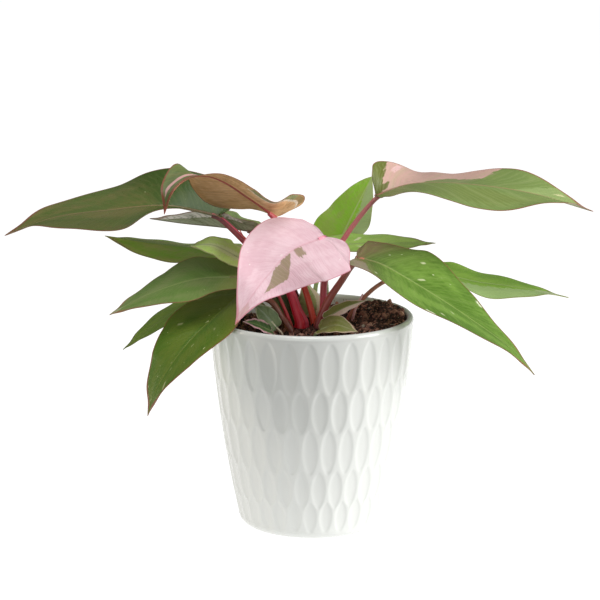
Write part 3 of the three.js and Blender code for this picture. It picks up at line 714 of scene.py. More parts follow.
def half_blade(leaf, path, which, s, r):
    """Points of a half at shares s and r, then their distances from the midrib and the margin."""
    outline, width, lobe, lift = getattr(leaf, which)
    edge = spline(OUTLINES[outline], s)
    foot = (np.maximum(0, s - FAN_SHARE) / (1 - FAN_SHARE)) ** VEIN_SWEEP
    u = foot + (edge[..., 0] - foot) * r
    across = r * edge[..., 1] * width
    ahead = np.clip(u, 0, 1)
    behind = np.minimum(0, u) * lobe
    along, face, side = leaf_frame(leaf, path, ahead)
    rise = np.radians(spline(lift, ahead)[..., 0])
    height, waves, phase = leaf.wave
    wave = height * r * r * edge[..., 1] * np.sin(2 * np.pi * waves * s + phase)
    sign = 1 if which == "left" else -1
    outward = side * (sign * across * np.cos(rise))[..., None]
    points = path.at(ahead) + along * behind[..., None] + outward
    points = points + face * (across * np.sin(rise) + wave)[..., None]
    from_margin = (1 - r) * np.maximum(edge[..., 1] * width, LEAST_WIDTH)
    return points, np.hypot(behind, across), from_margin


# %% A blade's middle surface
COLUMN_CROWDING = 1.5
MERGE_DIGITS = 4
Sheet = namedtuple("Sheet", "points s r rib_gap edge_gap faces places rim rim_places")


def grid_faces(index, s, across):
    """Faces over a grid of numbered points, with their places in the UV map."""
    faces, places = [], []
    for i in range(index.shape[0] - 1):
        for j in range(index.shape[1] - 1):
            face, place = [], []
            for corner in ((i, j), (i + 1, j), (i + 1, j + 1), (i, j + 1)):
                if index[corner] not in face:
                    face.append(int(index[corner]))
                    place.append((s[corner], (across[corner] + 1) / 2))
            if len(face) > 2:
                faces.append(face)
                places.append(place)
    return faces, places


def middle_sheet(leaf, rows, columns):
    """Rows along the outline and columns across each half; points that fall together are one."""
    path = Path(leaf.midrib)
    out = (np.arange(columns + 1) / columns) ** COLUMN_CROWDING
    signed = np.concatenate([-out[:0:-1], out])
    s, across = np.meshgrid(np.linspace(0, 1, rows + 1), signed, indexing="ij")
    r = abs(across)
    left, right = (half_blade(leaf, path, which, s, r) for which in ("left", "right"))
    is_left = across >= 0
    flat = np.where(is_left[..., None], left[0], right[0]).reshape(-1, 3)
    same = np.round(flat, MERGE_DIGITS)
    _, keep, index = np.unique(same, axis=0, return_index=True, return_inverse=True)
    index = index.reshape(s.shape)
    rib_gap, edge_gap = (np.where(is_left, left[k], right[k]).ravel()[keep] for k in (1, 2))
    rim = [int(v) for v in (*index[:, 0], *index[::-1, -1][1:-1])]
    rim_places = [*((a, 0.0) for a in s[:, 0]), *((a, 1.0) for a in s[::-1, -1][1:-1])]
    return Sheet(flat[keep], s.ravel()[keep], r.ravel()[keep], rib_gap, edge_gap,
                 *grid_faces(index, s, across), rim, rim_places)


# %% Its upper and lower side
SHEET_HALF = 0.28
MARGIN_HALF = 0.14
QUILT, QUILT_VEINS = 0.11, 9
RIPPLE, RIPPLES = 0.35, 6.5
CALM_WIDTH = 6
RIB_TIP, RIB_GROWTH, RIB_TAPER = 0.18, 0.82, 0.8
RIB_DEPTH = 0.8
GROOVE_DEPTH, GROOVE_WIDTH = 0.22, 0.9


def corner_normals(points, faces):
    """Normals of a sheet's points, each weighted by the faces round it."""
    normals = np.zeros_like(points)
    for face in faces:
        a, b, c = points[face[0]], points[face[1]], points[face[-1]]
        normals[face] += np.cross(b - a, c - a)
    return unit(normals + 1e-12)


def both_sides(sheet, phase, rib):
    """Upper and lower points: quilted, thinner at the margin, with a groove over a rib."""
    normals = corner_normals(sheet.points, sheet.faces)
    s, r = sheet.s, sheet.r
    quilt = QUILT * np.cos(2 * np.pi * QUILT_VEINS * s) * (r * (1 - r)) * 4
    ripple = RIPPLE * r**5 * np.sin(2 * np.pi * RIPPLES * s + phase * 2)
    calm = np.minimum(1, sheet.rib_gap / CALM_WIDTH)
    middle = sheet.points + normals * ((quilt + ripple) * calm)[:, None]
    half = SHEET_HALF + (MARGIN_HALF - SHEET_HALF) * r**4
    taper = rib * (RIB_TIP + RIB_GROWTH * (1 - np.clip(s, 0, 1)) ** RIB_TAPER)
    keel = np.sqrt(np.maximum(0, 1 - (sheet.rib_gap / taper) ** 2)) * taper * RIB_DEPTH
    groove = GROOVE_DEPTH * np.exp(-((sheet.rib_gap / GROOVE_WIDTH) ** 2)) * (1 - s)
    return middle + normals * (half - groove)[:, None], middle - normals * (half + keel)[:, None]


# %% The closed mesh of a blade
CREASE_ANGLE = 55
LEAF_UV = "leaf"


def blade_mesh(name, leaf, rows, columns, rib):
    """Both sides joined along the rim; the rib's radius is the one at the petiole."""
    sheet = middle_sheet(leaf, rows, columns)
    sides = both_sides(sheet, leaf.wave[2], rib)
    count = len(sheet.points)
    solid = sheet.faces + [[v + count for v in face[::-1]] for face in sheet.faces]
    uvs = sheet.places + [place[::-1] for place in sheet.places]
    rim, at = sheet.rim, sheet.rim_places
    for k, vertex in enumerate(rim):
        after = (k + 1) % len(rim)
        solid.append([rim[after], vertex, vertex + count, rim[after] + count])
        uvs.append([at[after], at[k], at[k], at[after]])

    mesh = bpy.data.meshes.new(name)
    mesh.from_pydata((np.vstack(sides) * MM).tolist(), [], solid)
    slots = np.zeros(len(solid), int)
    slots[len(sheet.faces):2 * len(sheet.faces)] = 1
    mesh.polygons.foreach_set("material_index", slots)
    mesh.polygons.foreach_set("use_smooth", np.ones(len(solid), bool))
    uv_map = mesh.uv_layers.new(name=LEAF_UV)
    uv_map.data.foreach_set("uv", np.array([c for place in uvs for c in place]).ravel())
    for label in ("rib_gap", "edge_gap"):
        gaps = np.tile(getattr(sheet, label), 2).astype(np.float32)
        mesh.attributes.new(label, "FLOAT", "POINT").data.foreach_set("value", gaps)
    mesh.set_sharp_from_angle(angle=math.radians(CREASE_ANGLE))
    mesh.update()
    return mesh


# %% [markdown]
# ## How a blade is coloured
#
# The plant is variegated: pink, cream and green areas follow the side veins and break up into ragged
# streaks at their ends. So a mark is a range of s and of r on one half, which may slant towards the
# tip as r grows, and its borders are shifted by noise that is stretched along the veins. Over the
# ground colour come, in turn, soft clouds, marks, speckles, side veins, the midrib and the margin.
# The same marks show on both faces. A few marks and ground colours are painted light or painted shade
# instead, as noted where they stand.
#
# Five kinds of noise are read in the shares, each with its cells along s and across the blade, its
# own place in the noise and its detail. A leaf's seed moves all of them, so no two leaves match.

# %% A leaf's material
LEAF_NOISES = {
    "cloud": (5, 2.5, 0, 3.0),
    "streak": (75, 5, 3, 3.0),
    "fleck": (150, 26, 7, 2.0),
    "stroke": (46, 8, 13, 1.0),
    "grain": (420, 140, 0, 2.0),
}
USUAL_LOOK = {"rough": 0.36, "rib": 0.85, "shade": 0.22, "show": 1.0, "wide": 1.0,
              "speckles": ("c9cf9e", 0.0), "marks": ()}
STREAK_SHADE = "24301a"
SHARP, BORDER = 0.004, 0.02
VEIN_TOP, VEIN_UNDER, FINE_VEINS, FINE_SHARE = 0.2, 0.34, 6, 0.55
RIB_AT_BASE, RIB_LOSS = 1.25, 0.85
SPECKLE_STRENGTH = MARGIN_STRENGTH = 0.85
LEAF_RELIEF = 0.00035


def leaf_material(name, look, face):
    """face is "top" or "under"; the look holds its colours, marks and speckles."""
    look = {**USUAL_LOOK, **look}
    under = face == "under"
    ground, second = (colour(code) for code in look[face])
    gloss = look["rough"] + (0.1 if under else 0.0)
    material, graph, shader = new_material(f"{name}_{face}", Specular_IOR_Level=0.3)
    s, over, _ = graph.split(graph.add("ShaderNodeUVMap", {"uv_map": LEAF_UV}))
    signed = over * 2 - 1
    r = abs(signed)
    sides = {"left": signed.step(-SHARP, SHARP), "both": r * 0 + 1}
    sides["right"] = 1 - sides["left"]
    cloud, streak, fleck, stroke, grain = (
        graph.noise(graph.vector(s * along, signed * across, look["seed"] + shift), 1.0, detail)
        for along, across, shift, detail in LEAF_NOISES.values())
    streak = streak - 0.5
    tone = graph.mix(ground, second, (cloud + streak * 0.5).step(0.36, 0.66))
    tone = graph.mix(tone, colour(STREAK_SHADE), streak.step(0.02, 0.3) * look["shade"])

    for code, side, s0, s1, r0, r1, slant, ragged, strength in look["marks"]:
        run = s + streak * ragged * 0.12 - r * slant
        reach = r + (streak * 1.6 + cloud - 0.5) * ragged
        soft = max(SHARP, (ragged - 0.5) * 0.4)
        mask = run.step(s0 - soft, s0 + soft) * run.step(s1 + soft, s1 - soft)
        if r0 > 0:
            mask = mask * reach.step(r0 - BORDER, r0 + BORDER)
        if r1 < 1:
            mask = mask * reach.step(r1 + BORDER, r1 - BORDER)
        tone = graph.mix(tone, colour(code), mask * sides[side] * strength)

    code, share = look["speckles"]
    speckle = stroke.step(0.80 - share * 0.1, 0.82 - share * 0.1)
    speckle = speckle + fleck.step(0.74 - share * 0.03, 0.77 - share * 0.03) * 0.5
    tone = graph.mix(tone, colour(code), speckle.at_most(1.0) * SPECKLE_STRENGTH)

    wobble = s * look["veins"] + (cloud - 0.5) * 0.5
    line = 1 - abs(wobble.fraction() - 0.5) * 2
    fine = 1 - abs((wobble * FINE_VEINS).fraction() - 0.5) * 2
    vein = line.step(0.86, 1.0) * r.step(1.0, 0.75)
    fine_vein = fine.step(0.4, 1.0) * r.step(1.0, 0.85)
    seen = (VEIN_UNDER if under else VEIN_TOP) * look["show"]
    tone = graph.mix(tone, colour(look["vein"]), vein * seen + fine_vein * seen * FINE_SHARE)

    rib_size = (RIB_AT_BASE - s * RIB_LOSS) * look["wide"]
    rib = (graph.attribute("rib_gap") / rib_size + streak * 0.3).step(1.15, 0.75)
    at_base, at_tip = (colour(code) for code in look["midrib"])
    midrib = graph.mix(at_base, at_tip, s.step(0.25, 0.6))
    tone = graph.mix(tone, midrib, rib * look["rib"])
    margin = (graph.attribute("edge_gap") + streak * 0.5).step(0.75, 0.3)
    tone = graph.mix(tone, colour(look["margin"]), margin * MARGIN_STRENGTH)
    graph.feed(shader.inputs["Base Color"], tone)

    graph.feed(shader.inputs["Roughness"], fleck * 0.16 + gloss - 0.08)
    relief = fine_vein * 0.25 + vein * 0.5 + rib * 0.4
    height = grain * 0.35 + relief * (1 if under else -1)
    set_bump(graph, shader, height, LEAF_RELIEF, 0.6)
    return material


# %% [markdown]
# A look holds two ground colours for each face, then the colours of the side veins, of the midrib at
# its base and tip and of the margin, and how many side veins there are. The rest is left out where
# the usual value does: `rough`, `rib`, `shade`, `show` and `wide` set the gloss and how strongly the
# rib, the dark streaks and the veins stand out, and `speckles` is a colour and a share. A mark is
# (colour, half, s from and to, r from and to, slant, raggedness, strength).

# %% The looks of the leaves
LOOKS = {
    "far_left": {
        "top": ("5b6c33", "747242"), "under": ("9b8a6c", "a79672"), "vein": "7c8650",
        "midrib": ("6e5a44", "8c7a58"), "margin": "8a5648", "seed": 1.0, "veins": 9, "rough": 0.3,
        # Painted shade: the first mark darkens the left half near the base, where the key light falls
        # full on it.
        "marks": [("4c6434", "left", -0.01, 0.5, 0.0, 0.85, 0.1, 0.25, 0.75),
                  ("34501a", "right", -0.01, 0.6, 0.0, 1.0, 0.0, 0.7, 0.85),
                  ("7c6a4c", "left", -0.01, 0.62, 0.82, 1.0, 0.0, 0.2, 0.6),
                  ("56662f", "left", 0.5, 0.9, 0.5, 1.0, 0.0, 0.2, 0.5)],
    },
    "left_back": {
        "top": ("7c9456", "8ea064"), "under": ("a8ae90", "bec2a8"), "vein": "747c5c",
        "midrib": ("8d7a62", "7d7460"), "margin": "9a7a68", "seed": 2.0, "veins": 5, "show": 2.4,
        "marks": [("a4b482", "left", -0.01, 0.36, 0.0, 1.0, 0.0, 0.2, 0.85),
                  # Painted highlight: the near-white band along the left half's margin stands for the
                  # sheen on the blade's upper edge.
                  ("f6f0e8", "left", 0.4, 1.01, 0.64, 1.0, 0.0, 0.12, 0.95),
                  ("6f7154", "left", 0.35, 1.01, 0.56, 0.64, 0.0, 0.12, 0.5)],
    },
    "twisted": {
        # Partly painted light: the underside's bronze is made paler than the leaf, to stand in for
        # light shining through the blade on a face that no lamp reaches.
        "top": ("5f7040", "718048"), "under": ("f0c896", "d8ac7a"), "vein": "a07a54",
        "midrib": ("d0404e", "a8404a"), "margin": "8c4838", "seed": 3.0, "veins": 12, "shade": 0.1,
        "wide": 1.7,
        "marks": [("dcaaa6", "right", 0.752, 0.79, 0.13, 0.8, 0.13, 0.06, 0.9),
                  ("a08a5c", "left", 0.28, 0.43, 0.76, 0.97, 0.0, 0.1, 0.9),
                  ("8c9a6c", "left", 0.43, 0.63, 0.76, 0.97, 0.0, 0.1, 0.9),
                  # Partly painted highlight: the cream band is the pale rolled rim together with the
                  # highlight along its curl.
                  ("f4ead4", "left", 0.24, 0.64, 0.68, 0.76, 0.0, 0.06, 0.85)],
    },
    "pink": {
        "top": ("eecdd5", "e4bcc6"), "under": ("e3b6bf", "d9a5b0"), "vein": "dba3b1",
        "midrib": ("d27f94", "dda0ae"), "margin": "d68a9a", "seed": 4.0, "veins": 11, "shade": 0.0,
        "rough": 0.42, "rib": 0.35, "speckles": ("f6e2e2", 0.5),
        "marks": [("94845f", "left", 0.608, 0.72, 0.03, 0.6, 0.17, 0.12, 0.9),
                  ("94845f", "left", 0.545, 0.592, 0.01, 0.23, 0.0, 0.16, 0.85),
                  ("c49a8c", "both", 0.9, 1.01, 0.0, 1.0, 0.0, 0.3, 0.45),
                  ("d0702a", "both", 0.972, 1.01, 0.0, 1.0, 0.0, 0.1, 0.9)],
    },
    "far_right": {
        "top": ("758a4c", "7f9250"), "under": ("97a06c", "a1a67a"), "vein": "aab47c",
        "midrib": ("a5786a", "9a8460"), "margin": "8f5444", "seed": 5.0, "veins": 10, "shade": 0.14,
        "show": 1.4,
        "marks": [("646a2c", "left", -0.01, 0.42, 0.0, 1.0, 0.0, 0.2, 0.9),
                  ("d2aa9f", "left", 0.398, 0.665, 0.0, 1.0, 0.0, 0.28, 0.95),
                  ("eac2c2", "left", 0.425, 0.442, 0.55, 0.92, 0.0, 0.3, 0.8),
                  ("646a2c", "left", 0.38, 0.419, 0.07, 0.24, 0.06, 0.1, 0.95),
                  ("646a2c", "left", 0.38, 0.404, 0.42, 0.62, 0.0, 0.1, 0.95),
                  ("646a2c", "left", 0.38, 0.401, 0.76, 0.9, 0.0, 0.1, 0.95),
                  ("758a4a", "left", 0.55, 0.8, 0.0, 0.5, 0.12, 0.3, 0.9),
                  ("9cb074", "left", 0.8, 1.01, 0.0, 1.0, 0.0, 0.4, 0.45),
                  ("d6d0a0", "left", 0.843, 0.857, 0.6, 0.82, 0.0, 0.1, 0.7),
                  ("6d7836", "right", 0.3, 0.72, 0.1, 0.8, 0.0, 0.4, 0.4)],
    },
    "upright": {
        "top": ("88c030", "94b448"), "under": ("9fb070", "a9b97f"), "vein": "a2bc60",
        "midrib": ("b4c486", "a8c070"), "margin": "9fae6a", "seed": 6.0, "veins": 8, "shade": 0.1,
        "marks": [("a6b688", "right", 0.25, 1.0, 0.25, 1.0, 0.0, 0.3, 0.75)],
    },
    "right_back": {
        # Partly painted light: the top's greens are lighter than the leaf, to make up for the shade
        # it sits in.
        "top": ("9cc45c", "b0d26c"), "under": ("93a06c", "9da877"), "vein": "9fb078",
        "midrib": ("a8b480", "98a870"), "margin": "8c7a58", "seed": 7.0, "veins": 10,
        "speckles": ("d3d6ae", 0.6),
        "marks": [("e4e4c0", "both", 0.56, 0.58, 0.3, 0.6, 0.0, 0.2, 0.8)],
    },
    "front_right": {
        "top": ("557828", "73963e"), "under": ("9aa878", "a5b184"), "vein": "88a254",
        "midrib": ("9c6a5c", "96aa60"), "margin": "8a5c44", "seed": 8.0, "veins": 11, "shade": 0.2,
        "rough": 0.33, "rib": 0.65, "speckles": ("d9dfb4", 0.4), "show": 1.8,
        "marks": [("566632", "both", -0.01, 0.5, 0.0, 1.0, 0.0, 0.75, 0.75),
                  ("8c7258", "both", -0.01, 0.4, 0.0, 1.0, 0.0, 0.6, 0.7),
                  ("b09c94", "right", 0.1, 0.4, 0.25, 1.0, 0.0, 0.3, 0.5),
                  ("dfe2b8", "left", 0.595, 0.603, 0.15, 0.25, 0.0, 0.05, 0.85),
                  ("dfe2b8", "left", 0.523, 0.53, 0.59, 0.66, 0.0, 0.05, 0.8),
                  ("e6e8ca", "left", 0.663, 0.684, 0.92, 0.96, 0.0, 0.05, 0.9),
                  ("dfe2b8", "right", 0.416, 0.425, 0.74, 0.81, 0.0, 0.05, 0.7),
                  ("e6e8ca", "right", 0.6, 0.62, 0.94, 0.98, 0.0, 0.05, 0.85),
                  ("dfe2b8", "right", 0.643, 0.65, 0.8, 0.85, 0.0, 0.05, 0.7),
                  ("dfe2b8", "right", 0.693, 0.7, 0.45, 0.51, 0.0, 0.05, 0.7)],
    },
    "right": {
        "top": ("76a034", "88ae44"), "under": ("97a86c", "a2b07a"), "vein": "8cac58",
        "midrib": ("8aa454", "9cb070"), "margin": "8a8a50", "seed": 9.0, "veins": 10,
        "speckles": ("d2d8a6", 0.2),
        "marks": [("aabc8c", "right", 0.35, 0.9, 0.35, 1.0, 0.0, 0.3, 0.55),
                  ("b9c29a", "both", 0.86, 1.01, 0.0, 1.0, 0.0, 0.3, 0.7)],
    },
    "left_rear": {
        "top": ("84ae3c", "a2ac60"), "under": ("8b9664", "969f70"), "vein": "8fa860",
        "midrib": ("a0a874", "8ca05c"), "margin": "8c8258", "seed": 10.0, "veins": 10,
        "speckles": ("c8cc9c", 0.2),
        "marks": [("aec45c", "both", -0.01, 0.4, 0.0, 1.0, 0.0, 0.7, 0.7)],
    },
    "small_left": {
        # Partly painted light: the top's pale yellow-greens are lighter than the leaf, to make up for
        # the shade it sits in below the leaves above.
        "top": ("c4e47c", "cce090"), "under": ("95a070", "a0a97c"), "vein": "b0c088",
        "midrib": ("c0cc98", "b4c48c"), "margin": "a09870", "seed": 11.0, "veins": 8,
        "marks": [("dce4b4", "both", 0.1, 0.9, 0.0, 0.3, 0.0, 0.3, 0.6)],
    },
    "left": {
        "top": ("668440", "7a8c54"), "under": ("8b9868", "97a274"), "vein": "86985e",
        "midrib": ("9aa674", "8a9c60"), "margin": "90644c", "seed": 12.0, "veins": 10,
        "speckles": ("c3c896", 0.3),
        "marks": [("8c9650", "both", -0.01, 0.45, 0.0, 1.0, 0.0, 0.7, 0.6),
                  ("dcdfc6", "both", 0.93, 1.01, 0.0, 1.0, 0.0, 0.2, 0.6)],
    },
    "low_left": {
        "top": ("6c8c30", "7c963a"), "under": ("7c8a56", "88955f"), "vein": "76884c",
        "midrib": ("85945e", "7c8c50"), "margin": "6f7444", "seed": 13.0, "veins": 9,
        "speckles": ("b9c088", 0.1),
        # Painted light: the bright green mark lifts the base of the blade, which lies in the shade of
        # the leaves beside it.
        "marks": [("bede50", "both", -0.01, 0.55, 0.0, 1.0, 0.0, 0.8, 0.95)],
    },
    "front_left": {
        "top": ("506f20", "64782a"), "under": ("8a9668", "94a072"), "vein": "6c8640",
        "midrib": ("84803a", "7a8a3c"), "margin": "8a5040", "seed": 14.0, "veins": 11, "rough": 0.3,
        "rib": 0.6, "speckles": ("c4c894", 0.7),
        "marks": [("747430", "both", -0.01, 0.56, 0.0, 1.0, 0.0, 0.7, 0.6),
                  ("b4b888", "left", 0.805, 0.818, 0.7, 0.9, 0.0, 0.05, 0.9),
                  ("b4b888", "right", 0.602, 0.612, 0.58, 0.68, 0.0, 0.05, 0.9),
                  ("a6ac78", "left", 0.603, 0.611, 0.38, 0.45, 0.0, 0.05, 0.8)],
    },
    "young_round": {
        "top": ("747a38", "848450"), "under": ("a3b27a", "acb886"), "vein": "8a8c5c",
        "midrib": ("9a9a68", "8e9060"), "margin": "cdb49c", "seed": 15.0, "veins": 6,
    },
    "young_rolled": {
        "top": ("7f8a48", "8c9450"), "under": ("a8b07e", "b2b88a"), "vein": "9aa068",
        "midrib": ("b4bf8c", "b4bf8c"), "margin": "f0d8cc", "seed": 16.0, "veins": 6,
        "marks": [("ffeedd", "right", -0.01, 1.01, 0.12, 1.0, 0.0, 0.2, 0.95)],
    },
    "young_left": {
        "top": ("34502c", "42602e"), "under": ("5c6e48", "67784f"), "vein": "587048",
        "midrib": ("6c7c50", "6c7c50"), "margin": "c79aa0", "seed": 17.0, "veins": 5,
        "marks": [("cfa0a6", "both", 0.4, 0.9, 0.75, 1.0, 0.0, 0.3, 0.7)],
    },
    "young_upright": {
        "top": ("586c42", "687a4c"), "under": ("6a7c60", "74866a"), "vein": "748460",
        "midrib": ("78886a", "78886a"), "margin": "9c9e80", "seed": 18.0, "veins": 5,
    },
    "young_middle": {
        "top": ("a4bc74", "b0c482"), "under": ("b3bf8e", "bcc698"), "vein": "bcc898",
        "midrib": ("c6cf9e", "c6cf9e"), "margin": "e6dcb8", "seed": 19.0, "veins": 5,
        "marks": [("f0e6c8", "right", 0.1, 1.01, 0.6, 1.0, 0.0, 0.2, 0.9)],
    },
    "young_dark": {
        "top": ("3c5828", "4a6830"), "under": ("5f7048", "697a50"), "vein": "4c6638",
        "midrib": ("6a7a4c", "6a7a4c"), "margin": "77805a", "seed": 20.0, "veins": 5,
    },
}
print("marks:", sum(len(look.get("marks", ())) for look in LOOKS.values()))

# %% Making the blades
LEAF_ROWS, LEAF_COLUMNS = ((136, 20))
YOUNG_ROWS, YOUNG_COLUMNS = ((70, 10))
RIB_SHARE = 0.8
for key, leaf in LEAVES.items():
    young = key.startswith("young")
    rows, columns = (YOUNG_ROWS, YOUNG_COLUMNS) if young else (LEAF_ROWS, LEAF_COLUMNS)
    mesh = blade_mesh(f"{key}_blade", leaf, rows, columns, rib=RIB_SHARE * leaf.radii[1])
    for face in ("top", "under"):
        mesh.materials.append(leaf_material(key, LOOKS[key], face))
    total += finish_piece(new_piece(f"{key}_blade", mesh), f"{key}_leaf")

# %% [markdown]
# ## Petioles and shoots
#
# A petiole is a stalk with a groove along its inner side, thick and sheathing at its foot and
# thinner towards the blade. In the tree its points become a curve, a round profile with a groove
# pressed into it is swept along, and the two fields that measured the sweep, along and around, are
# stored for the material. The last points run on under the midrib, so that stalk and rib join.

# %% Geometry Nodes: a grooved stalk
GROOVE_PLACE, STALK_GROOVE_WIDTH = 0.25, 0.09
STALK_FLARE_END = 0.16
STALK_LUMPS_PER_METRE, STALK_LUMP = 260.0, 0.0003

stalk_tree, graph, inlet = new_tree("Stalk", {
    "Steps": ("Int", 60),
    "Sides": ("Int", 24),
    "Foot Radius": ("Float", 0.003),
    "Tip Radius": ("Float", 0.0015),
    "Groove": ("Float", 0.3),
    "Groove Place": ("Float", GROOVE_PLACE),
    "Flare": ("Float", 0.25),
    "Material": ("Material", None),
})
curve = graph.add("GeometryNodeMeshToCurve", None, {"Mesh": inlet})
inputs = {"Curve": curve, "Count": inlet.other("Steps")}
curve = graph.add("GeometryNodeResampleCurve", None, inputs)
factor = graph.add("GeometryNodeSplineParameter")
curve = graph.stored(curve, "along", factor)
foot, tip = inlet.other("Foot Radius"), inlet.other("Tip Radius")
radius = foot + (tip - foot) * factor**0.5
radius = radius * (factor.step(STALK_FLARE_END, 0.0) * inlet.other("Flare") + 1)
inputs = {"Resolution": inlet.other("Sides"), 4: 1.0}
circle = graph.add("GeometryNodeCurvePrimitiveCircle", {"mode": "RADIUS"}, inputs)
circle = graph.stored(circle, "around", factor)
gap = (factor - inlet.other("Groove Place")) / STALK_GROOVE_WIDTH
fall = gap * gap * -1
pressed = 1 - inlet.other("Groove") * fall.math("EXPONENT", fall)
circle = graph.moved(circle, Position=graph.scaled(graph.position(), pressed))
inputs = {"Curve": curve, "Profile Curve": circle, "Scale": radius, "Fill Caps": True}
stalk = graph.add("GeometryNodeCurveToMesh", None, inputs)
lump = (graph.noise(graph.position(), STALK_LUMPS_PER_METRE) - 0.5) * STALK_LUMP
push = graph.scaled(graph.add("GeometryNodeInputNormal"), lump)
close_tree(graph, graph.moved(stalk, Offset=push), inlet.other("Material"))
print("stalk tree:", len(stalk_tree.nodes), "nodes")


def line_mesh(name, points):
    """Points joined by edges, for a tree to turn into a curve."""
    mesh = bpy.data.meshes.new(name)
    edges = [(i, i + 1) for i in range(len(points) - 1)]
    mesh.from_pydata((np.asarray(points) * MM).tolist(), edges, [])
    return mesh


def grow_stalk(name, path, steps, radii, material, **sizes):
    """A stalk along a path, with the radii of its foot and its tip in millimetres."""
    line = line_mesh(name, path.at(np.linspace(0, 1, steps)))
    return run_tree(new_piece(name, line), stalk_tree, steps=steps, foot_radius=radii[0] * MM,
                    tip_radius=radii[1] * MM, material=material, **sizes)


# %% [markdown]
# Petioles of this plant go from wine red at the foot to green or rose at the blade, streaked along
# their length, with a paler groove. The colours change with the share along and the place around.

# %% Petiole materials
STALK_FLECK = "d8c8a0"


def stalk_material(name, foot, middle, tip, groove):
    """Colours of the foot, the middle, the tip and the groove."""
    material, graph, shader = new_material(name, Coat_Weight=0.06, Coat_Roughness=0.2)
    along, around = graph.attribute("along"), graph.attribute("around")
    place = graph.add("ShaderNodeTexCoord", out="Object")
    turn = around * 2 * math.pi
    ring = graph.vector(turn.math("COSINE", turn) * 3, turn.math("SINE", turn) * 3, along * 2.5)
    streak = graph.noise(ring, 3.0, 4.0, 0.6)
    fleck = graph.noise(place, 900.0)
    ramp = {"stops": [(0.0, colour(foot)), (0.3, colour(middle)), (0.95, colour(tip))]}
    tone = graph.add("ShaderNodeValToRGB", ramp, {"Fac": along + (streak - 0.5) * 0.5})
    tone = graph.mix(tone, colour(foot), streak.step(0.52, 0.7) * 0.45)
    groove_mask = abs(around - GROOVE_PLACE).step(0.11, 0.04)
    tone = graph.mix(tone, colour(groove), groove_mask * 0.7)
    tone = graph.mix(tone, colour(STALK_FLECK), fleck.step(0.7, 0.78) * 0.35)
    graph.feed(shader.inputs["Base Color"], tone)
    graph.feed(shader.inputs["Roughness"], streak * 0.2 + 0.28)
    set_bump(graph, shader, streak + fleck * 0.3, 0.0003, 0.5)
    return material


STALK_LOOKS = {
    "far_left": ("d01428", "ec3c5c", "7e4a4c", "ff7890"),
    "left_back": ("5c2a2e", "7a3c40", "8a6a58", "8f4a4c"),
    # Partly painted light: the twisted and the pink petioles are lighter than their own colour, to
    # make up for the shade of the crown; the pink one also stands in for the light from behind it.
    "twisted": ("d83828", "ec5c44", "c04c54", "ffa48c"),
    "pink": ("ff4c70", "ff98b0", "ffa8bc", "ffd8e0"),
    "far_right": ("cc3c54", "cc5c68", "b4706a", "e8a4a0"),
    "upright": ("8a9c5c", "93a860", "9cb468", "b4c488"),
    "right_back": ("8a9460", "93a068", "9cac70", "b4bc88"),
    "front_right": ("6e2628", "a84844", "b87a6a", "d88a6c"),
    "right": ("9a4634", "b87258", "b89080", "d8a088"),
    "left_rear": ("8a9460", "8f9c64", "93a068", "b0b684"),
    "small_left": ("909c68", "98a470", "98a870", "b4bc8c"),
    "left": ("7a4a3c", "8a604a", "8c8456", "ac8c68"),
    "low_left": ("8a9060", "8f9864", "8c9860", "b0b484"),
    "front_left": ("4a1c10", "6a301c", "a86c54", "d4944c"),
    "young_round": ("a0ac78", "a8b480", "a8b880", "c0c898"),
    "young_rolled": ("a0ac78", "a8b480", "a8b880", "c0c898"),
    "young_left": ("6c7850", "78845a", "7c8a5c", "98a478"),
    "young_upright": ("e0c4ae", "d8c0a8", "a8a880", "f0dcc8"),
    "young_middle": ("d4d0a4", "ccd09c", "b8c48a", "e0dcb8"),
    "young_dark": ("6a7448", "6c7a4c", "6c7c4c", "8c9868"),
}


# %% Making the petioles
STALK_END = 5.0
UNDER_BASE, UNDER_RIB = 0.9, 0.45
LEAST_STEPS, MOST_STEPS = 20, 90
GROWN_STALK = {"sides": 24, "groove": 0.3, "flare": 0.2}
YOUNG_STALK = {"sides": 12, "groove": 0.12, "flare": 0.0}
for key, leaf in LEAVES.items():
    sizes = YOUNG_STALK if key.startswith("young") else GROWN_STALK
    midrib = Path(leaf.midrib)
    tip_radius = leaf.radii[1]
    ahead = np.array([0.0, STALK_END / midrib.length])
    _, face, _ = leaf_frame(leaf, midrib, ahead)
    drop = np.array([[tip_radius * UNDER_BASE], [tip_radius * UNDER_RIB]])
    path = Path(np.vstack([leaf.stalk, midrib.at(ahead) - face * drop]))
    steps = int(min(MOST_STEPS, LEAST_STEPS + path.length))
    material = stalk_material(f"{key}_stalk", *STALK_LOOKS[key])
    piece = grow_stalk(f"{key}_stalk", path, steps, leaf.radii, material, **sizes)
    total += finish_piece(piece, f"{key}_petiole")

# %% [markdown]
# New leaves come out of the crown rolled into a spike. They use the same tree with a radius that
# runs out to nearly nothing, and stand on the stem, whose stub is hidden by the soil.

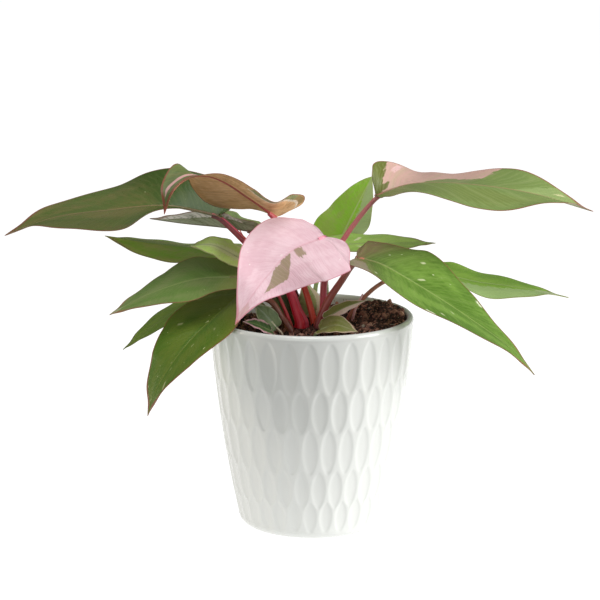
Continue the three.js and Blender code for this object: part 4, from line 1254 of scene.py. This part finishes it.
# %% Making the shoots and the stem
SPIKE_SIZES = {"sides": 20, "groove": 0.15, "flare": 0.0}
SPIKES = {
    "red_shoot": ("crimson", (2.6, 0.4), ("a02630", "cc4048", "e06458", "f08c78"),
                  [(-13, -9, 124), (-14, -9, 138), (-28, -8, 172), (-40, -6, 190), (-49, -2, 205)]),
    "pink_shoot": ("pink", (2, 0.6), ("e06c80", "f4a4ae", "f8cccc", "ffe0e0"),
                   [(27.5, -3, 124), (27.5, -3, 139), (30, -2.5, 150), (35, 0, 160)]),
    "stem": ("stem", (4.6, 4.9), ("5a3a30", "6c4438", "6a4a3a", "7c5a44"),
             [(-6.5, -6, 92), (-6.5, -6, 115), (-6.5, -6, 138)]),
}
for name, (slot, radii, look, points) in SPIKES.items():
    path = Path(points)
    steps = int(LEAST_STEPS + path.length / 2)
    material = stalk_material(f"{name}_skin", *look)
    piece = grow_stalk(f"{name}_spike", path, steps, radii, material, **SPIKE_SIZES)
    total += finish_piece(piece, name)

# %% [markdown]
# ## The soil
#
# Potting soil is a bed of dark crumbs and coir fibres. The bed is a height field that follows the
# model's soil, closed down to the pot's floor. The tree roughens its top, scatters crumbs of many
# sizes over it with a fixed seed and lays fibres among them; each crumb gets its own random shade.

# %% The bed of soil
SOIL_GAP = 0.3
SOIL_LEVEL = 137
SOIL_SLOPE = 0.05
SOIL_HEAP_X, SOIL_HEAP_Y = 44, 20
SOIL_HEAP_HEIGHT = 9
SOIL_HEAP_SPREAD = 21
SOIL_LUMP, SMALL_LUMP = 1.1, 0.6
SOIL_EDGE = 4
SOIL_COLUMNS = 150
SOIL_RINGS = 50
SOIL_SIDE_RINGS = 8


def soil_height(x, y):
    heap = ((x - SOIL_HEAP_X) ** 2 + (y - SOIL_HEAP_Y) ** 2) / (2 * SOIL_HEAP_SPREAD**2)
    lumps = np.sin(0.31 * x + 0.17 * y) * np.cos(0.27 * y - 0.12 * x)
    lumps = lumps + SMALL_LUMP * np.sin(0.63 * x - 0.41 * y + 1) * np.sin(0.52 * y + 0.3 * x)
    return SOIL_LEVEL + SOIL_SLOPE * x + SOIL_HEAP_HEIGHT * np.exp(-heap) + SOIL_LUMP * lumps


def inner_radius(z):
    return wall_radius(z) - WALL - SOIL_GAP


soil_rings = []
for z in np.linspace(FLOOR + SOIL_GAP, SOIL_LEVEL - SOIL_EDGE, SOIL_SIDE_RINGS):
    soil_rings.append(round_ring(inner_radius(z), z, SOIL_COLUMNS))
for share in np.linspace(1, 0, SOIL_RINGS + 1)[:-1]:
    ring = round_ring(share * inner_radius(SOIL_LEVEL), 0, SOIL_COLUMNS)
    ring[:, 2] = soil_height(ring[:, 0], ring[:, 1])
    soil_rings.append(ring)
middle = (0, 0, float(soil_height(0.0, 0.0)))
bed_mesh = skin_over_rings("potting_soil", (0, 0, FLOOR + SOIL_GAP), soil_rings, middle)
is_top = np.zeros(len(bed_mesh.vertices), np.float32)
is_top[1 + (SOIL_SIDE_RINGS + 1) * SOIL_COLUMNS:] = 1
bed_mesh.attributes.new("is_top", "FLOAT", "POINT").data.foreach_set("value", is_top)
print("soil bed:", len(bed_mesh.vertices), "points")

# %% Soil material
# Partly painted light: these browns run paler than the soil itself, to make up for the shade that the
# leaves cast over it.
SOIL_BROWNS = [(0.0, colour("1c0f0b")), (0.3, colour("5c3a30")), (0.65, colour("ac7c69")),
               (0.95, colour("f0c4b0"))]
# The third colour on the next line is painted shade for the gaps between crumbs.
BARK_RED, GRIT_GREY, PAINTED_GAP_SHADE = colour("a05a40"), colour("cbc3b4"), colour("120b09")
SOIL_RELIEF = 0.0008

soil_skin, graph, shader = new_material("potting_soil", Roughness=0.92)
place = graph.add("ShaderNodeTexCoord", out="Object")
shade = graph.attribute("shade")
coarse = graph.noise(place, 420.0, 4.0, 0.65)
fine = graph.noise(place, 1800.0, 3.0, 0.6)
inputs = {"Fac": shade * 0.75 + coarse * 0.8 - 0.35}
tone = graph.add("ShaderNodeValToRGB", {"stops": SOIL_BROWNS}, inputs)
tone = graph.mix(tone, BARK_RED, shade.step(0.90, 0.915) * 0.55)
tone = graph.mix(tone, GRIT_GREY, shade.step(0.985, 0.99) * 0.9)
# Painted shade: fine noise darkens the soil in small patches, standing in for the shade in the gaps
# between crumbs.
tone = graph.mix(tone, PAINTED_GAP_SHADE, fine.step(0.5, 0.3) * 0.5)
graph.feed(shader.inputs["Base Color"], tone)
set_bump(graph, shader, coarse + fine * 0.5, SOIL_RELIEF, 0.8)
print("soil skin:", len(soil_skin.node_tree.nodes), "nodes")

# %% Geometry Nodes: crumbs and fibres
CRUMB_DENSITY, CLOD_DENSITY, FIBRE_DENSITY = 340000.0, 28000.0, 16000.0
BED_LUMPS_PER_METRE, BED_ROUGHNESS = 210.0, 0.004
SOIL_SEED, TURN_SEED, SIZE_SEED, SHADE_SEED = 7, 3, 5, 11
FULL_TURN = (6.28, 6.28, 6.28)
FIBRE_RADIUS = 0.035

crumb_tree, graph, inlet = new_tree("Crumbs", {
    "Crumb Density": ("Float", CRUMB_DENSITY),
    "Clod Density": ("Float", CLOD_DENSITY),
    "Fibre Density": ("Float", FIBRE_DENSITY),
    "Roughness": ("Float", BED_ROUGHNESS),
    "Seed": ("Int", SOIL_SEED),
})
is_top = graph.number("is_top")
lumps = graph.noise(graph.position(), BED_LUMPS_PER_METRE, 3.0) - 0.5
rise = lumps * inlet.other("Roughness") * is_top
bed = graph.moved(inlet, Offset=graph.vector(0.0, 0.0, rise))
print("crumbs for each square metre:", round(CRUMB_DENSITY + CLOD_DENSITY))


def random_vector(low, high, seed):
    inputs = {0: low, 1: high, "Seed": seed}
    return graph.add("FunctionNodeRandomValue", {"data_type": "FLOAT_VECTOR"}, inputs)


def scatter(density, seed, thing, smallest, largest):
    """Instances of a thing on the top of the bed, turned and scaled at random, each with a shade."""
    inputs = {"Mesh": bed, "Selection": is_top.step(0.4, 0.6), "Density": density, "Seed": seed}
    points = graph.add("GeometryNodeDistributePointsOnFaces", {"distribute_method": "RANDOM"}, inputs)
    turn = random_vector((0, 0, 0), FULL_TURN, TURN_SEED)
    size = random_vector(smallest, largest, SIZE_SEED)
    inputs = {"Points": points, "Instance": thing, "Rotation": turn, "Scale": size}
    placed = graph.add("GeometryNodeInstanceOnPoints", None, inputs)
    inputs = {2: 0.0, 3: 1.0, "Seed": SHADE_SEED}
    shade = graph.add("FunctionNodeRandomValue", {"data_type": "FLOAT"}, inputs, out=1)
    return graph.stored(placed, "shade", shade, "INSTANCE")


def lumpy_ball(detail, scale):
    ball = graph.add("GeometryNodeMeshIcoSphere", None, {"Radius": 1.0, "Subdivisions": detail})
    here = graph.position()
    lump = graph.noise(here, scale) * 1.1 + 0.45
    return graph.moved(ball, Position=graph.scaled(here, lump))


# %% The three kinds of bits in the soil
seed = inlet.other("Seed")
crumbs = scatter(inlet.other("Crumb Density"), seed, lumpy_ball(1, 1.7),
                 (0.0004, 0.0004, 0.0003), (0.0013, 0.0011, 0.0008))
clods = scatter(inlet.other("Clod Density"), seed + 1, lumpy_ball(2, 1.3),
                (0.0012, 0.0011, 0.0009), (0.0034, 0.0027, 0.0021))
inputs = {0: (-1, 0, 0), 1: (1, 0, 0)}
strand = graph.add("GeometryNodeCurvePrimitiveLine", {"mode": "POINTS"}, inputs)
strand = graph.add("GeometryNodeResampleCurve", None, {"Curve": strand, "Count": 7})
bend, _, _ = graph.split(graph.position())
sway = bend * 2.4
bow = graph.vector(0.0, bend * bend * 0.5, sway.math("SINE", sway) * 0.16)
strand = graph.moved(strand, Offset=bow)
inputs = {"Resolution": 4, 4: FIBRE_RADIUS}
thin = graph.add("GeometryNodeCurvePrimitiveCircle", {"mode": "RADIUS"}, inputs)
inputs = {"Curve": strand, "Profile Curve": thin, "Fill Caps": True}
strand = graph.add("GeometryNodeCurveToMesh", None, inputs)
fibres = scatter(inlet.other("Fibre Density"), seed + 2, strand,
                 (0.002, 0.002, 0.002), (0.006, 0.006, 0.004))
joined = graph.tree.nodes.new("GeometryNodeJoinGeometry")
for part in (fibres, clods, crumbs, bed):
    graph.tree.links.new(part.end, joined.inputs[0])
close_tree(graph, Socket(graph, joined.outputs[0]), soil_skin)
print("crumb tree:", len(crumb_tree.nodes), "nodes")

# %% Making the soil
thin_out = 1.0
soil = run_tree(new_piece("potting_soil", bed_mesh), crumb_tree, seed=SOIL_SEED,
                crumb_density=CRUMB_DENSITY * thin_out, clod_density=CLOD_DENSITY * thin_out)
total += finish_piece(soil, "soil")
print("all pieces:", total, "triangles")

# %% [markdown]
# ## The stage
#
# The plant stands on a white sweep under soft light. The key light is high on the right, and there
# are weaker ones low on the right, above, in front and, as a warm window, on the left. The floor
# glows, so that it stays white up to the pot, and ends in front of it, so that it doesn't light the
# pot's front from below. The camera looks slightly down from far away with a long lens, which keeps
# the pot's sides nearly straight.

# %% Floor and world
FLOOR_HALF = 12.0
FLOOR_FRONT = 0.19
FLOOR_GREY, FLOOR_WHITE, FLOOR_GLOW = (0.25, 0.25, 0.25, 1), (1, 1, 1, 1), 0.97
SKY_TINT, SKY_STRENGTH = (0.97, 0.98, 1.0, 1), 0.16

floor_mesh = bpy.data.meshes.new("studio_floor")
corners = [(-FLOOR_HALF, -FLOOR_FRONT, 0), (FLOOR_HALF, -FLOOR_FRONT, 0),
           (FLOOR_HALF, FLOOR_HALF, 0), (-FLOOR_HALF, FLOOR_HALF, 0)]
floor_mesh.from_pydata(corners, [], [(0, 1, 2, 3)])
sweep, _, _ = new_material("studio_floor", Base_Color=FLOOR_GREY, Roughness=0.9,
                           Emission_Color=FLOOR_WHITE, Emission_Strength=FLOOR_GLOW)
floor_mesh.materials.append(sweep)
floor = new_piece("studio_floor", floor_mesh)
floor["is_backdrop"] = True

world = bpy.data.worlds.new("studio")
world.use_nodes = True
background = world.node_tree.nodes["Background"]
background.inputs["Color"].default_value = SKY_TINT
background.inputs["Strength"].default_value = SKY_STRENGTH
bpy.context.scene.world = world
bpy.context.scene.view_settings.view_transform = "Standard"
print("floor:", FLOOR_HALF * 2, "m wide, ends", FLOOR_FRONT, "m in front of the pot's middle")


# %% Lights and camera
PLANT_MIDDLE = (0, 0, 0.12)
WHITE = (1.0, 1.0, 1.0)


def area_light(name, place, target, size, watts, tint):
    """A round soft light that shines from a place at a target."""
    data = bpy.data.lights.new(name, "AREA")
    data.shape = "DISK"
    data.size = size
    data.energy = watts
    data.color = tint
    light = bpy.data.objects.new(name, data)
    bpy.context.scene.collection.objects.link(light)
    light.location = place
    aim = np.subtract(target, place)
    tilt = math.acos(-aim[2] / np.linalg.norm(aim))
    light.rotation_euler = (tilt, 0, math.atan2(-aim[0], aim[1]))


area_light("key_light", (1.4, -0.5, 0.75), PLANT_MIDDLE, 0.9, 20.5, (1.0, 0.995, 0.985))
area_light("low_right", (1.4, 0.05, 0.3), PLANT_MIDDLE, 0.6, 5.5, WHITE)
area_light("top_light", (-0.1, -0.5, 1.5), PLANT_MIDDLE, 0.9, 9.0, WHITE)
area_light("front_fill", (-0.5, -1.35, 0.4), (0, 0, 0.15), 1.1, 4.1, (1.0, 0.99, 0.96))
area_light("left_window", (-1.5, 0.1, 0.6), PLANT_MIDDLE, 0.6, 4.8, (1.0, 0.88, 0.7))

CAMERA_PLACE = (-0.0079, -1.5615, 0.495)
CAMERA_PITCH = 12.2566
CAMERA_LENS = 140.16
CAMERA_SENSOR = 36.0
camera_data = bpy.data.cameras.new("camera")
camera_data.lens = CAMERA_LENS
camera_data.sensor_width = CAMERA_SENSOR
camera = bpy.data.objects.new("camera", camera_data)
camera.location = CAMERA_PLACE
camera.rotation_euler = (math.radians(90 - CAMERA_PITCH), 0, 0)
bpy.context.scene.collection.objects.link(camera)
bpy.context.scene.camera = camera
print("camera:", round(-CAMERA_PLACE[1], 2), "m away with a", round(CAMERA_LENS), "mm lens")

# %% Print the size before and after
scene_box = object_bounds()
sizes = {"cad": [list(corner) for corner in cad_box], "scene": [list(corner) for corner in scene_box]}
print("box before:", [[round(c * 1000, 1) for c in corner] for corner in sizes["cad"]])
print("box after:", [[round(c * 1000, 1) for c in corner] for corner in sizes["scene"]])
